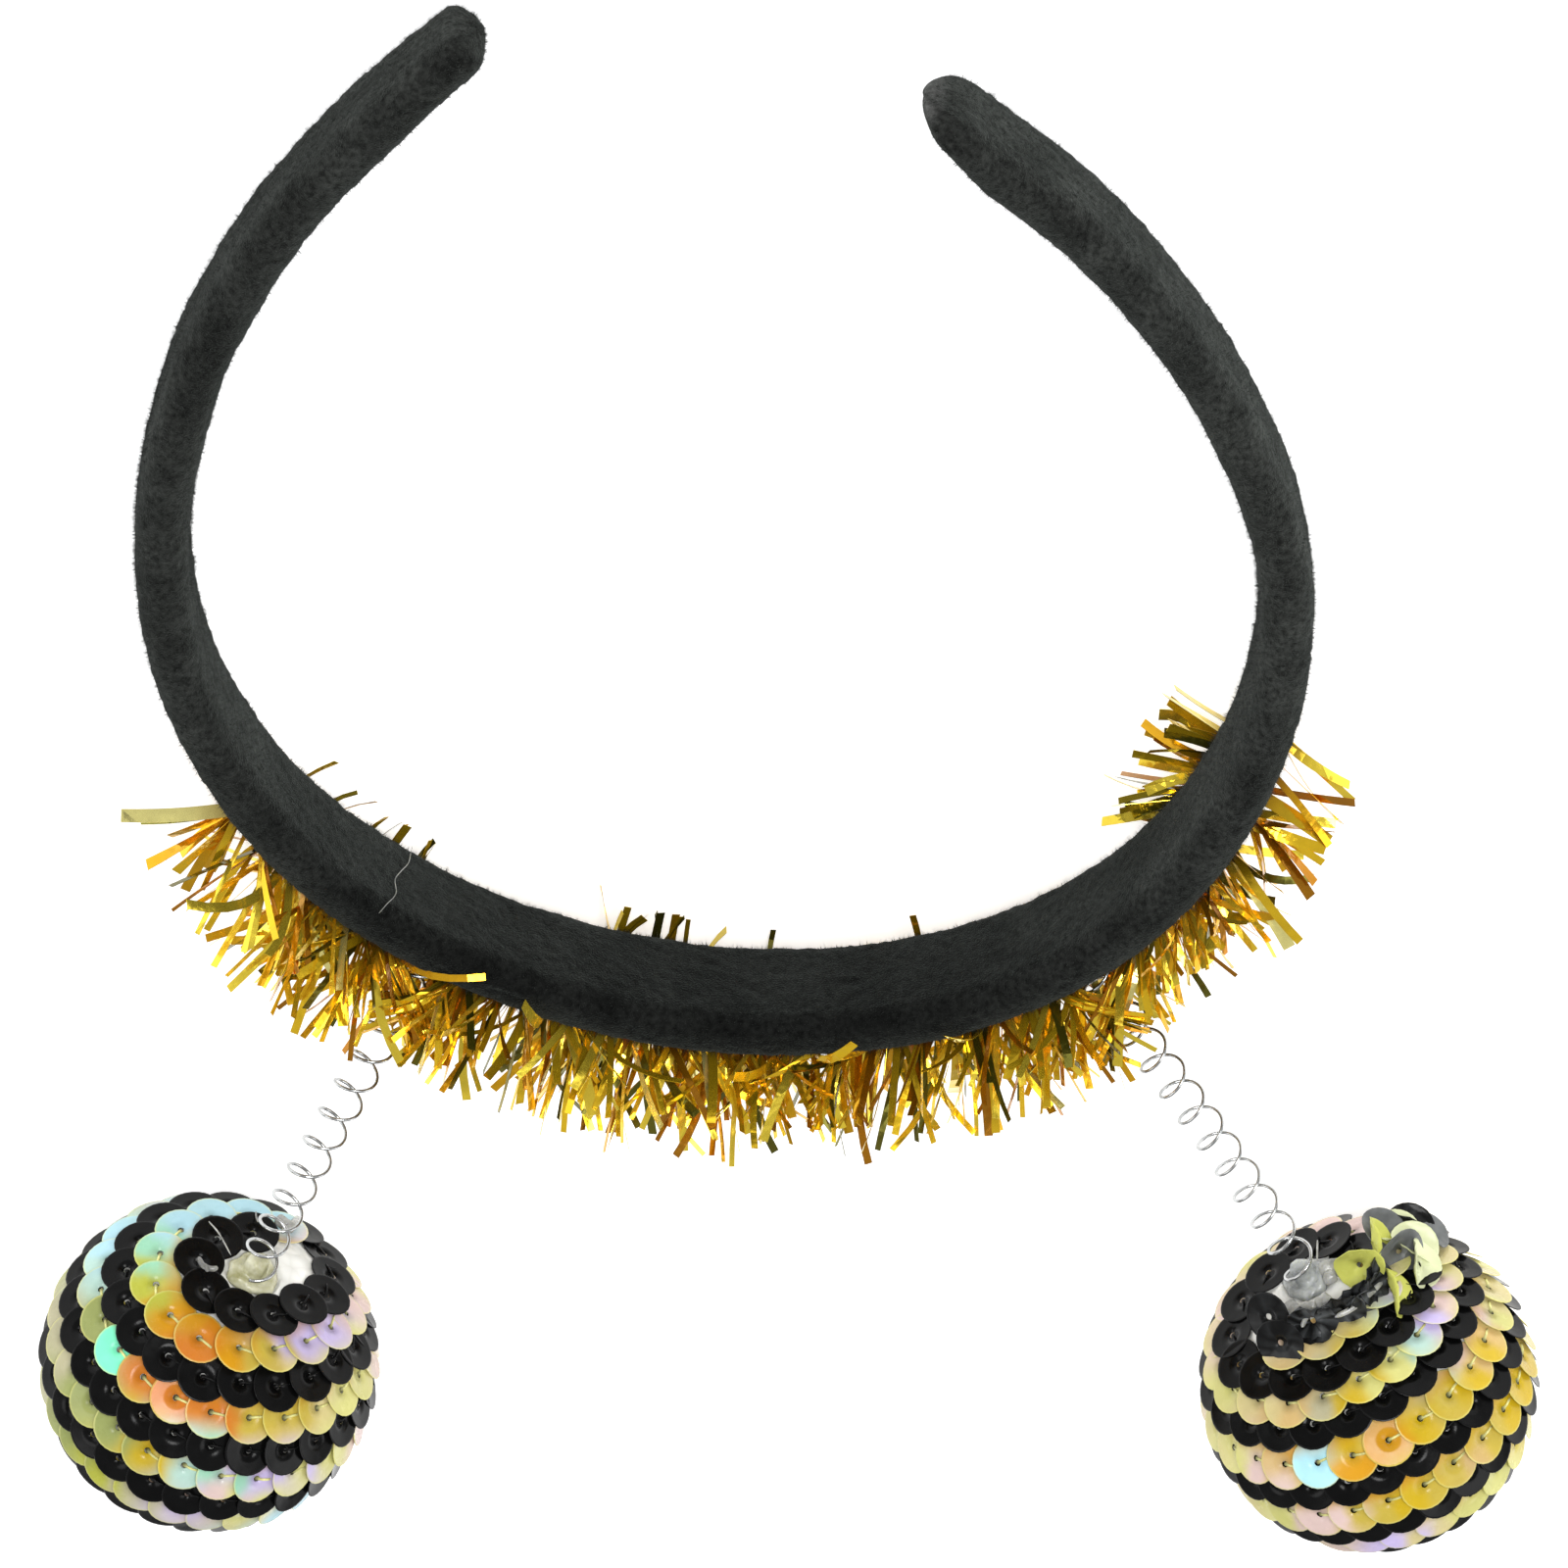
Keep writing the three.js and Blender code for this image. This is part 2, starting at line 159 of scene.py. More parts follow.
class Spline:
    """A centripetal Catmull-Rom curve, counted in its own points."""

    def __init__(self, points):
        p = np.asarray(points, float)
        p = np.vstack([2 * p[0] - p[1], p, 2 * p[-1] - p[-2]])
        gaps = np.sqrt(np.linalg.norm(np.diff(p, axis=0), axis=1))[:, None]
        p0, p1, p2, p3 = p[:-3], p[1:-2], p[2:-1], p[3:]
        d0, d1, d2 = gaps[:-2], gaps[1:-1], gaps[2:]
        t1 = ((p1 - p0) / d0 - (p2 - p0) / (d0 + d1) + (p2 - p1) / d1) * d1
        t2 = ((p2 - p1) / d1 - (p3 - p1) / (d1 + d2) + (p3 - p2) / d2) * d1
        self.c = (p1, t1, 3 * (p2 - p1) - 2 * t1 - t2, 2 * (p1 - p2) + t1 + t2)
        self.count = len(p1)

    def _place(self, row):
        row = np.asarray(row, float)
        k = np.clip(row.astype(int), 0, self.count - 1)
        return k, (row - k)[..., None]

    def at(self, row):
        k, w = self._place(row)
        a, b, c, d = (part[k] for part in self.c)
        return a + w * (b + w * (c + w * d))

    def along(self, row):
        k, w = self._place(row)
        _, b, c, d = (part[k] for part in self.c)
        return unit(b + w * (2 * c + 3 * w * d))


def bezier(points, t):
    """Bezier curves from control points, each shaped (curve, 3), at shares t, as (curve, share, 3)."""
    n = len(points) - 1
    t = t[None, :, None]
    return sum(math.comb(n, k) * (1 - t) ** (n - k) * t ** k * p[:, None] for k, p in enumerate(points))


def patches(rows, columns, seed):
    """A smooth random field from -1 to 1 as a function of two shares, u and v, with v closed on itself."""
    values = np.random.default_rng(seed).uniform(-1, 1, (rows + 1, columns))

    def field(u, v):
        a = np.clip(u, 0, 1) * rows
        b = (v % 1.0) * columns
        i = np.minimum(a.astype(int), rows - 1)
        j = b.astype(int) % columns
        s = smoothstep(0, 1, a - i)
        t = smoothstep(0, 1, b - b.astype(int))
        k = (j + 1) % columns
        return (values[i, j] * (1 - s) * (1 - t) + values[i + 1, j] * s * (1 - t)
                + values[i, k] * (1 - s) * t + values[i + 1, k] * s * t)

    return field


def rings_round(line, first, second, radius, sides):
    """Rings of points round the points of a line, each in the plane of two directions."""
    angle = np.linspace(0, TURN, sides, endpoint=False)[:, None]
    across = first[..., None, :] * np.cos(angle) + second[..., None, :] * np.sin(angle)
    return line[..., None, :] + radius * across


def tubes(rings):
    """Closed tubes from rings of points, shaped (tube, station, corner, 3), right-handed about their way."""
    n, stations, corners, _ = rings.shape
    index = np.arange(n * stations * corners).reshape(n, stations, corners)
    after = np.roll(index, -1, axis=2)
    walls = np.stack([index[:, :-1], after[:, :-1], after[:, 1:], index[:, 1:]], axis=-1)
    ends = np.concatenate([index[:, 0, ::-1], index[:, -1]])
    return rings.reshape(-1, 3), [walls.reshape(-1, 4), ends]


def make_piece(name, points, faces, material, body=None, node=None, colours=None, smooth=True):
    """A mesh from points in millimetres and lists of faces, each an array with one row of corners a face."""
    mesh = bpy.data.meshes.new(name)
    corners = np.concatenate([f.ravel() for f in faces]).astype(np.int32)
    counts = np.concatenate([np.full(len(f), f.shape[1]) for f in faces])
    starts = np.concatenate([[0], np.cumsum(counts)[:-1]]).astype(np.int32)
    mesh.vertices.add(len(points))
    mesh.vertices.foreach_set("co", (np.asarray(points) * MM).astype(np.float32).ravel())
    mesh.loops.add(len(corners))
    mesh.loops.foreach_set("vertex_index", corners)
    mesh.polygons.add(len(starts))
    mesh.polygons.foreach_set("loop_start", starts)
    mesh.polygons.foreach_set("use_smooth", np.full(len(starts), smooth))
    if colours is not None:
        rgba = np.ones((len(points), 4), np.float32)
        rgba[:, :3] = colours
        mesh.attributes.new("tint", "FLOAT_COLOR", "POINT").data.foreach_set("color", rgba.ravel())
    mesh.update(calc_edges=True)
    mesh.validate()
    mesh.materials.append(material)
    piece = bpy.data.objects.new(name, mesh)
    bpy.context.scene.collection.objects.link(piece)
    if node:
        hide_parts(node)
    if body:
        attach(piece, body)
    return piece


# Materials

class Look:
    """A material in the making: nodes that feed its shader."""

    def __init__(self, name, **sockets):
        self.material = bpy.data.materials.new(name)
        self.material.use_nodes = True
        self.tree = self.material.node_tree
        self.shader = self.tree.nodes["Principled BSDF"]
        self.feed(self.shader, {socket.replace("_", " "): value for socket, value in sockets.items()})

    def feed(self, node, inputs):
        """Sets a node's inputs to values, or links them to the outputs of other nodes."""
        for name, value in inputs.items():
            if isinstance(value, bpy.types.NodeSocket):
                self.tree.links.new(value, node.inputs[name])
            else:
                node.inputs[name].default_value = value

    def noise(self, scale, detail=3.0):
        """Noise in the object's own space. scale counts grains to the metre."""
        place = self.tree.nodes.new("ShaderNodeTexCoord").outputs["Object"]
        node = self.tree.nodes.new("ShaderNodeTexNoise")
        self.feed(node, {"Vector": place, "Scale": scale, "Detail": detail, "Roughness": 0.55})
        return node.outputs["Fac"]

    def ramp(self, factor, first, last, low=0.3, high=0.7):
        """Colours in linear light, from the first to the last as the factor goes from low to high."""
        node = self.tree.nodes.new("ShaderNodeValToRGB")
        for point, place, colour in zip(node.color_ramp.elements, (low, high), (first, last)):
            point.position = place
            point.color = (*colour, 1.0)
        self.feed(node, {"Fac": factor})
        return node.outputs["Color"]

    def colour(self, *ramp):
        self.feed(self.shader, {"Base Color": self.ramp(*ramp)})

    def tint(self, factor, low, high):
        """The mesh's own colours, made darker or lighter by a factor from low to high."""
        own = self.tree.nodes.new("ShaderNodeAttribute")
        own.attribute_name = "tint"
        mix = self.tree.nodes.new("ShaderNodeMix")
        mix.data_type = "RGBA"
        mix.blend_type = "MULTIPLY"
        shade = self.ramp(factor, (low,) * 3, (high,) * 3)
        self.feed(mix, {"Factor": 1.0, "A": own.outputs["Color"], "B": shade})
        self.feed(self.shader, {"Base Color": mix.outputs["Result"]})

    def rough(self, scale, low, high):
        """A roughness that varies from low to high."""
        node = self.tree.nodes.new("ShaderNodeMapRange")
        self.feed(node, {"Value": self.noise(scale), "From Min": 0.3, "From Max": 0.7})
        self.feed(node, {"To Min": low, "To Max": high})
        self.feed(self.shader, {"Roughness": node.outputs["Result"]})

    def bump(self, height, distance, strength=1.0):
        node = self.tree.nodes.new("ShaderNodeBump")
        self.feed(node, {"Height": height, "Distance": distance, "Strength": strength})
        self.feed(self.shader, {"Normal": node.outputs["Normal"]})


def fleece_material():
    look = Look("fleece", Sheen_Weight=0.1, Sheen_Roughness=0.4, Sheen_Tint=(0.74, 0.84, 0.77, 1),
                Specular_IOR_Level=0.05)
    look.tint(look.noise(1500, 2.0), 0.4, 1.75)
    look.rough(330, 0.86, 1.0)
    look.bump(look.noise(5200, 2.0), 0.0003, 0.9)
    return look.material


def nap_material():
    look = Look("fleece_nap", Sheen_Weight=0.07, Sheen_Roughness=0.4, Sheen_Tint=(0.8, 0.9, 0.83, 1),
                Specular_IOR_Level=0.1)
    look.tint(look.noise(1400), 0.3, 1.7)
    look.rough(300, 0.6, 0.8)
    return look.material


def foil_material():
    look = Look("foil", Metallic=0.78, Specular_IOR_Level=0.6)
    look.tint(look.noise(350), 0.8, 1.0)
    look.rough(500, 0.1, 0.22)
    look.bump(look.noise(700, 1.0), 0.0002, 0.35)
    return look.material


def yarn_material():
    look = Look("yarn")
    look.colour(look.noise(2500), (0.10, 0.055, 0.012), (0.25, 0.15, 0.03))
    look.rough(800, 0.7, 0.9)
    look.bump(look.noise(4000), 0.0002)
    return look.material


def wire_material():
    look = Look("wire", Metallic=1.0)
    look.colour(look.noise(400), (0.36, 0.37, 0.37), (0.58, 0.59, 0.59))
    look.rough(900, 0.16, 0.32)
    look.bump(look.noise(6000, 2.0), 0.00002, 0.5)
    return look.material


def foam_material():
    look = Look("foam", Subsurface_Weight=0.15, Subsurface_Radius=(0.002, 0.002, 0.002))
    place = look.tree.nodes.new("ShaderNodeTexCoord").outputs["Object"]
    beads = look.tree.nodes.new("ShaderNodeTexVoronoi")
    look.feed(beads, {"Vector": place, "Scale": 420})
    look.colour(beads.outputs["Distance"], (0.86, 0.86, 0.83), (0.66, 0.66, 0.62), 0.2, 0.8)
    look.rough(600, 0.7, 0.9)
    look.bump(beads.outputs["Distance"], -0.0006)
    return look.material


def glue_material(name, dark, pale):
    look = Look(name, Subsurface_Weight=0.35, Subsurface_Radius=(0.002, 0.002, 0.001))
    look.colour(look.noise(500), dark, pale)
    look.rough(900, 0.1, 0.35)
    look.bump(look.noise(900), 0.0004, 0.6)
    return look.material


def sequin_material(name, low, high, rough, **sockets):
    look = Look(name, **sockets)
    look.tint(look.noise(450, 2.0), low, high)
    look.rough(700, *rough)
    look.bump(look.noise(500, 1.0), 0.0001, 0.3)
    return look.material


def thread_material():
    look = Look("thread", Subsurface_Weight=0.3, Subsurface_Radius=(0.001, 0.001, 0.0006),
                Specular_IOR_Level=0.15)
    look.tint(look.noise(3000), 0.8, 1.1)
    look.rough(900, 0.3, 0.5)
    return look.material


def floor_material():
    look = Look("floor", Roughness=0.8, Specular_IOR_Level=0.2, Emission_Color=(1, 1, 1, 1),
                Emission_Strength=0.55)
    look.colour(look.noise(6), (0.93, 0.93, 0.93), (0.96, 0.96, 0.96))
    return look.material


FLEECE = fleece_material()
NAP = nap_material()
FOIL = foil_material()
YARN = yarn_material()
WIRE_METAL = wire_material()
FOAM = foam_material()
GLUE = {
    "left": glue_material("glue_left", (0.30, 0.29, 0.14), (0.62, 0.61, 0.45)),
    "right": glue_material("glue_right", (0.16, 0.17, 0.17), (0.5, 0.52, 0.5)),
}
SEQUIN = {
    "gold": sequin_material("sequin_gold", 0.94, 1.03, (0.2, 0.32), Coat_Weight=0.06, Coat_Roughness=0.15,
                            Specular_IOR_Level=0.2),
    "black": sequin_material("sequin_black", 0.7, 1.2, (0.17, 0.27), Specular_IOR_Level=0.1),
}
FROST = glue_material("glue_frost", (0.14, 0.14, 0.13), (0.42, 0.42, 0.39))
THREAD = thread_material()


# The band

BAND_SPINE = Spline(BAND[:, :3])
BAND_ROWS = len(BAND) - 1


def from_ring(p):
    """Points in the band's own plane, in the row's frame."""
    c, s = math.cos(RING_TILT), math.sin(RING_TILT)
    x, y, z = np.moveaxis(np.asarray(p, float), -1, 0)
    return np.stack([x, y * c + z * s, z * c - y * s + RING_HEIGHT], axis=-1) + SHIFT


class Section:
    """The band at places counted in rows of its table."""

    def __init__(self, row):
        rows = np.arange(len(BAND))
        self.row = np.atleast_1d(np.asarray(row, float))
        self.middle = BAND_SPINE.at(self.row)
        self.along = BAND_SPINE.along(self.row)
        self.out = np.cross(self.along, UP)
        self.wide = np.interp(self.row, rows, BAND[:, 3])
        self.thick = np.interp(self.row, rows, BAND[:, 4])

    def beside(self, out, up, along=0.0):
        """Points out, up and along from the band's middle."""
        out, up, along = (np.broadcast_to(np.asarray(v, float), self.row.shape) for v in (out, up, along))
        return self.middle + weigh((self.out, out), (UP, up), (self.along, along))

    def core(self):
        """Points on the garland's core."""
        return self.beside(self.thick / 2 + GAP + CORE_RADIUS, CORE_RISE)


def even_rows(count, first=0.0, last=BAND_ROWS):
    """Rows of the table at even distances along the band."""
    rows = np.linspace(first, last, 4000)
    length = running_length(BAND_SPINE.at(rows))
    return np.interp(np.linspace(0, length[-1], count), length, rows)


BAND_STATIONS = 880
TIP_STATIONS = 12
TIP_END = 86  # degrees round a tip to its last ring
CORNER = 0.9
CORNER_STEPS, SIDE_STEPS, EDGE_STEPS = 12, 26, 3
CROWN = 0.25  # how far the padded faces swell
NAP_DEPTH = 0.25  # how deep the skin lies under the ends of its nap
PINCH = 0.4  # how far the inner face is drawn in at the right end, where the sleeve is folded flat


def band_outline():
    """Round a section: each point's signs out and up, its angle at a corner, and its slide along a side."""
    rows = []
    for quarter, signs in enumerate(((1, 1), (1, -1), (-1, -1), (-1, 1))):
        rows += [(*signs, TURN / 4 * (quarter + k / CORNER_STEPS), 0.0) for k in range(CORNER_STEPS + 1)]
        steps = SIDE_STEPS if quarter in (0, 2) else EDGE_STEPS
        rows += [(*signs, TURN / 4 * (quarter + 1), k / steps) for k in range(1, steps)]
    return np.array(rows).T


def band_grid():
    """Points on the band's skin, shaped (station, round, 3), in the band's plane."""
    tip = np.radians(np.linspace(0, TIP_END, TIP_STATIONS + 1)[1:])
    first, last = np.zeros(TIP_STATIONS), np.full(TIP_STATIONS, BAND_ROWS)
    rows = np.concatenate([first, even_rows(BAND_STATIONS), last])
    scale = np.concatenate([np.cos(tip[::-1]), np.ones(BAND_STATIONS), np.cos(tip)])[:, None]
    left = -np.sin(tip[::-1]) * (LEFT_TIP - NAP_DEPTH)
    right = np.sin(tip) * (RIGHT_TIP - NAP_DEPTH)
    reach = np.concatenate([left, np.zeros(BAND_STATIONS), right])
    section = Section(rows)
    half_thick = section.thick[:, None] / 2 - NAP_DEPTH
    half_wide = section.wide[:, None] / 2 - NAP_DEPTH
    corner = CORNER * half_thick
    out_sign, up_sign, angle, slide = band_outline()
    out = out_sign * (half_thick - corner) + corner * np.sin(angle)
    up = up_sign * (half_wide - corner) + corner * np.cos(angle)
    upright = np.isclose(np.abs(np.sin(angle)), 1.0)
    up = up - up_sign * np.where(upright, slide, 0) * 2 * (half_wide - corner)
    out = out - out_sign * np.where(upright, 0, slide) * 2 * (half_thick - corner)
    swell = CROWN * np.clip(1 - (up / half_wide) ** 2, 0, 1)
    out = out + np.sign(out) * swell * np.clip(np.abs(out) / half_thick, 0, 1) ** 2
    pinch = PINCH * smoothstep(BAND_ROWS - 0.3, BAND_ROWS + 0.06, section.row + 0.02 * reach)[:, None]
    out = out + np.where(out < 0, -out, 0) * pinch
    spine = section.middle + weigh((section.along, reach))
    return spine[:, None] + weigh((section.out[:, None], scale * out), (UP, scale * up))


def grid_normals(points):
    along = np.gradient(points, axis=0)
    round_ = np.roll(points, -1, axis=1) - np.roll(points, 1, axis=1)
    return unit(np.cross(round_, along) + 1e-12)


FLEECE_TINT = np.array([0.0112, 0.0119, 0.0110])
NAP_TINT = np.array([0.021, 0.0228, 0.021])
LIP_TINT = np.array([0.032, 0.032, 0.031])  # the smooth end of the sleeve at the right tip
# How pale the fleece is at shares of the band's length: painted light, paler towards its ends, where more
# light falls on the arms.
PAINTED_LIGHT_ALONG = [(0, 1.3), (0.12, 1.35), (0.3, 1.25), (0.42, 0.5), (0.58, 0.5), (0.7, 1.5), (0.84, 2.0), (1, 1.3)]
CURLS = 0.13  # height of the pile's curls
DENTS = 0.1
LIP_STATIONS = (7, 3)  # from the last station: where the smooth lip starts, and where it is whole
# Random fields over the skin: patches along the band and round it, and a seed.
LARGE_CURLS = (300, 30, 11)
SMALL_CURLS = (520, 54, 12)
DENT_PATCHES = (60, 7, 13)
BEND_ALONG = (210, 22, 14)
BEND_ROUND = (190, 24, 15)
SHADES = (120, 12, 16)
SWIRLS = (90, 9, 21)
TUFTS = (420, 42, 22)


def build_band():
    grid = band_grid()
    normals = grid_normals(grid)
    stations, around = grid.shape[:2]
    u, v = np.meshgrid(np.linspace(0, 1, stations), np.arange(around) / around, indexing="ij")
    bent = (u + 0.0022 * patches(*BEND_ALONG)(u, v), v + 0.02 * patches(*BEND_ROUND)(u, v))
    curls = 0.6 * patches(*LARGE_CURLS)(*bent) + 0.7 * patches(*SMALL_CURLS)(*bent)
    dents = patches(*DENT_PATCHES)(u, v)
    lip = smoothstep(*(stations - n for n in LIP_STATIONS), np.arange(stations))[:, None]
    skin = grid + weigh((normals, CURLS * curls * (1 - lip) + DENTS * dents))
    # The fleece is made paler towards the band's ends: painted light.
    # The tint is darker where the dents press the skin in and paler where they lift it: painted shade.
    shade = (1 + 0.35 * patches(*SHADES)(u, v) + 0.3 * dents) * between(PAINTED_LIGHT_ALONG, u)
    tints = weigh((FLEECE_TINT, (1 - lip) * shade), (LIP_TINT, lip * shade))
    points, faces = tubes(from_ring(skin)[None])
    points[:, 2] = np.maximum(points[:, 2], 0.02)
    band = make_piece("band_fleece", points, faces, FLEECE, "headband", "band",
                      tints.reshape(-1, 3))
    return skin, normals


NAP_PIECES = 2
NAP_FIBRES = 40000  # in each piece
NAP_LENGTH = (0.35, 0.9)
NAP_THICK = (0.02, 0.04)
NAP_LEAN = (0.45, 0.45)
NAP_ROOT = 0.12  # how deep a fibre starts in the skin
NAP_STRAY = 0.03  # share of long stray fibres
SPIKE = ((0, 1, 3), (1, 2, 3), (2, 0, 3), (0, 2, 1))  # faces of a fibre on its three base points and tip


def build_nap(grid, normals):
    """Fibres brushed up from the fleece, each a closed spike, up to the smooth lip."""
    stations, around = grid.shape[:2]
    for number in range(NAP_PIECES):
        random = np.random.default_rng(30 + number)
        s = random.uniform(0, stations - LIP_STATIONS[0] - 0.001, NAP_FIBRES)
        r = random.uniform(0, around, NAP_FIBRES)
        place = (s / stations, r / around)
        i, j = s.astype(int), r.astype(int)
        f, g = s - i, r - j
        k = (j + 1) % around
        base = weigh((grid[i, j], (1 - f) * (1 - g)), (grid[i + 1, j], f * (1 - g)),
                     (grid[i, k], (1 - f) * g), (grid[i + 1, k], f * g))
        normal = normals[i, j]
        side = unit(grid[i, k] - grid[i, j] + 1e-9)
        turn = TURN * patches(*SWIRLS)(*place) + random.normal(0, 2.0, NAP_FIBRES)
        lean = np.abs(random.normal(*NAP_LEAN, NAP_FIBRES))
        heading = weigh((side, np.cos(turn)), (np.cross(normal, side), np.sin(turn)))
        direction = unit(normal + weigh((heading, lean)))
        length = random.uniform(*NAP_LENGTH, NAP_FIBRES) * (0.7 + 0.6 * np.abs(patches(*TUFTS)(*place)))
        stray = random.random(NAP_FIBRES) < NAP_STRAY
        length = np.where(stray, length * random.uniform(1.2, 1.9, NAP_FIBRES), length)
        thick = random.uniform(*NAP_THICK, NAP_FIBRES) * np.where(stray, 0.7, 1.0)
        across = unit(np.cross(direction, side + 0.3))
        root = base - normal * NAP_ROOT
        corners = rings_round(root, across, np.cross(direction, across), thick[:, None, None], 3)
        tips = root + weigh((direction, length))
        points = from_ring(np.concatenate([corners, tips[:, None]], axis=1).reshape(-1, 3))
        points[:, 2] = np.maximum(points[:, 2], 0.03)
        faces = np.concatenate([np.arange(NAP_FIBRES)[:, None] * 4 + np.array(face) for face in SPIKE])
        # The nap is made paler towards the band's ends: painted light.
        tints = np.repeat(weigh((NAP_TINT, between(PAINTED_LIGHT_ALONG, place[0]))), 4, axis=0)
        make_piece(f"band_nap_{number + 1}", points, [faces], NAP, "headband",
                   colours=tints, smooth=False)


# The garland

def core_spline():
    points = list(Section(np.linspace(CORE_FROM, CORE_TO, 13)).core())
    end = Section(CORE_TO)
    for along, out, below in CORE_TURN:
        points.append(end.beside(out, -(end.wide / 2 + below), along)[0])
    return Spline(points)


FOIL_STATIONS = 8
FOIL_THICK = 0.045
# Tints of the foil: golds, with a dark olive that is painted shade, for foil turned from the light, and a
# pale yellow that is a painted highlight, for glints.
FOIL_TINTS = linear([
    (1.00, 0.88, 0.28),
    (0.97, 0.80, 0.16),
    (0.90, 0.68, 0.10),
    (0.72, 0.48, 0.08),
    (0.42, 0.40, 0.12),
    (1.00, 0.95, 0.60),
])
FOIL_SHARES = (0.28, 0.28, 0.18, 0.12, 0.11, 0.03)
FOIL_ROOT_SHADE = np.array([0.5, 0.4, 0.3])  # what is left of a tint at the core: painted shade where the strips crowd at their roots
FOIL_WIDE = (0.5, 1.05)
BROADER = 1.5
BROAD_SHARE = 0.06  # of all strips, besides those that are said to be broad
FOIL_CORNERS = ((1, 1), (-1, 1), (-1, -1), (1, -1))
FOIL_LEAST = np.array([0.09, 0.09, 0.04, 0.04])  # height of the corners above the floor


def foil_strips(paths, broad, dim, random):
    """Thin closed strips along centre lines in the row's frame, shaped (strip, station, 3), with their tints.

    broad says which strips are broader than the rest, and dim how bright each one's tint is.
    """
    n, stations = paths.shape[:2]
    share = np.linspace(0, 1, stations)
    along = unit(np.gradient(paths, axis=1))
    across = unit(np.cross(along, unit(random.normal(size=(n, 1, 3)))))
    roll = random.uniform(0, TURN, (n, 1)) + random.normal(0, 0.5, (n, 1)) * share
    flat = weigh((across, np.cos(roll)), (np.cross(along, across), np.sin(roll)))
    normal = np.cross(along, flat)
    width = random.uniform(*FOIL_WIDE, (n, 1))
    broad = broad | (random.random(n) < BROAD_SHARE)
    width = np.where(broad[:, None], width * BROADER, width)[..., None] / 2
    half = FOIL_THICK / 2
    rings = np.stack([paths + flat * width * a + normal * half * b for a, b in FOIL_CORNERS], axis=2)
    rings[..., 2] = np.maximum(rings[..., 2], FOIL_LEAST)
    pick = random.choice(len(FOIL_TINTS), n, p=FOIL_SHARES)
    tints = FOIL_TINTS[pick] * random.uniform(0.85, 1.1, (n, 1)) * dim[:, None]
    # Darker towards the core: painted shade.
    shade = FOIL_ROOT_SHADE + (1 - FOIL_ROOT_SHADE) * smoothstep(0, 0.55, share)[:, None, None]
    return rings, (tints[:, None, None] * np.broadcast_to(shade, (stations, 4, 3))).reshape(-1, 3)


FRINGE_STRIPS = 1250
FRINGE_FAN = 82  # degrees either side of straight out
FRINGE_LENGTH = (11.6, 16.8)
FRINGE_LEAN = 0.6
LOCK_LEAN = 0.45  # how far whole locks lean along the band
LOCKS = (40, 1, 8)  # patches along the garland and round it, and a seed
END_LEAN = 0.45  # how far the strips at both ends lean to the middle of the garland
END_ROWS = 0.8
KINKED = 0.35  # share of strips with a kink
SPRING_CLEAR = 2.45
LEAST_HEIGHT = 0.35  # of a strip's centre line above the floor
# Rows, and the share of the strips kept there and of their length.
FRINGE_THIN = [(5.72, 0.12), (6.0, 0.5), (6.35, 1.0), (10.05, 1.0), (10.42, 0.55)]
FRINGE_SHORT = [(9.5, 1.0), (9.8, 0.7), (10.2, 0.68), (10.42, 0.9)]
UNDER_STRIPS = [  # rows from and to, number, reach past the inner face: strips that pass under the band
    (5.88, 5.92, 1, 4.0),
    (6.08, 6.14, 2, 1.8),
    (6.34, 6.74, 7, 0.9),
    (7.37, 7.86, 11, 1.1),
    (8.78, 8.82, 1, 1.4),
]
OVER_STRIPS = [  # row, millimetres along the band and out to the tip: strips that lie over its upper edge
    (6.60, 9.0, -2.4), (7.35, -5.0, -0.4), (8.30, 6.0, -0.8), (9.05, -4.0, 0.2),
]
END_STRIPS = 26
TAIL_STRIPS = 18
START_STRIPS = 11
# The strips splayed past an end: way along the band, and ranges of their turns in degrees, rises and lengths.
START_SPLAY = (-1, (-42, 22), (-0.25, 0.3), (9.5, 13.5))
TAIL_SPLAY = (1, (-55, 16), (-0.3, 0.35), (8.5, 12.5))
COVER_STRIPS = 40  # tried over each spring's root
BACK_STRIPS = 360


def strips(*points):
    """Centre lines of strips from three or four control points, each shaped (strip, 3)."""
    return bezier(points, np.linspace(0, 1, FOIL_STATIONS))


def straight_strips(base, direction, length, stray, random):
    """Strips that leave their bases in a direction and stray from it towards their tips."""
    tip = base + unit(direction + random.normal(0, stray, base.shape)) * length
    return strips(base, base + direction * length * 0.5, tip)


def fringe_paths(random):
    """Strips all round the outside of the core."""
    row = even_rows(FRINGE_STRIPS, CORE_FROM, CORE_TO)
    row = np.clip(row + random.normal(0, 0.02, FRINGE_STRIPS), CORE_FROM, CORE_TO)
    row = row[random.random(FRINGE_STRIPS) < between(FRINGE_THIN, row)]
    count = len(row)
    section = Section(row)
    fan = np.radians(FRINGE_FAN * random.uniform(-1, 1, count))
    lean = FRINGE_LEAN * np.clip(random.normal(0, 0.6, count), -1.3, 1.3)
    lean = lean + LOCK_LEAN * patches(*LOCKS)((row - CORE_FROM) / (CORE_TO - CORE_FROM), 0 * row)
    ends = smoothstep(CORE_FROM + END_ROWS, CORE_FROM, row) - smoothstep(CORE_TO - END_ROWS, CORE_TO, row)
    lean = lean + END_LEAN * ends
    direction = unit(weigh((section.out, np.cos(fan)), (UP, np.sin(fan)), (section.along, lean)))
    length = (random.uniform(*FRINGE_LENGTH, count) * between(FRINGE_SHORT, row))[:, None]
    sag = random.normal(0, 0.10, (count, 3))
    kink = np.where(random.random((count, 1)) < KINKED, random.normal(0, 0.28, (count, 3)), 0)
    base = section.core()
    tip = base + unit(direction + sag + kink) * length
    start = base + section.along * random.normal(0, 0.3, (count, 1))
    return strips(start, base + direction * length * 0.55, tip)


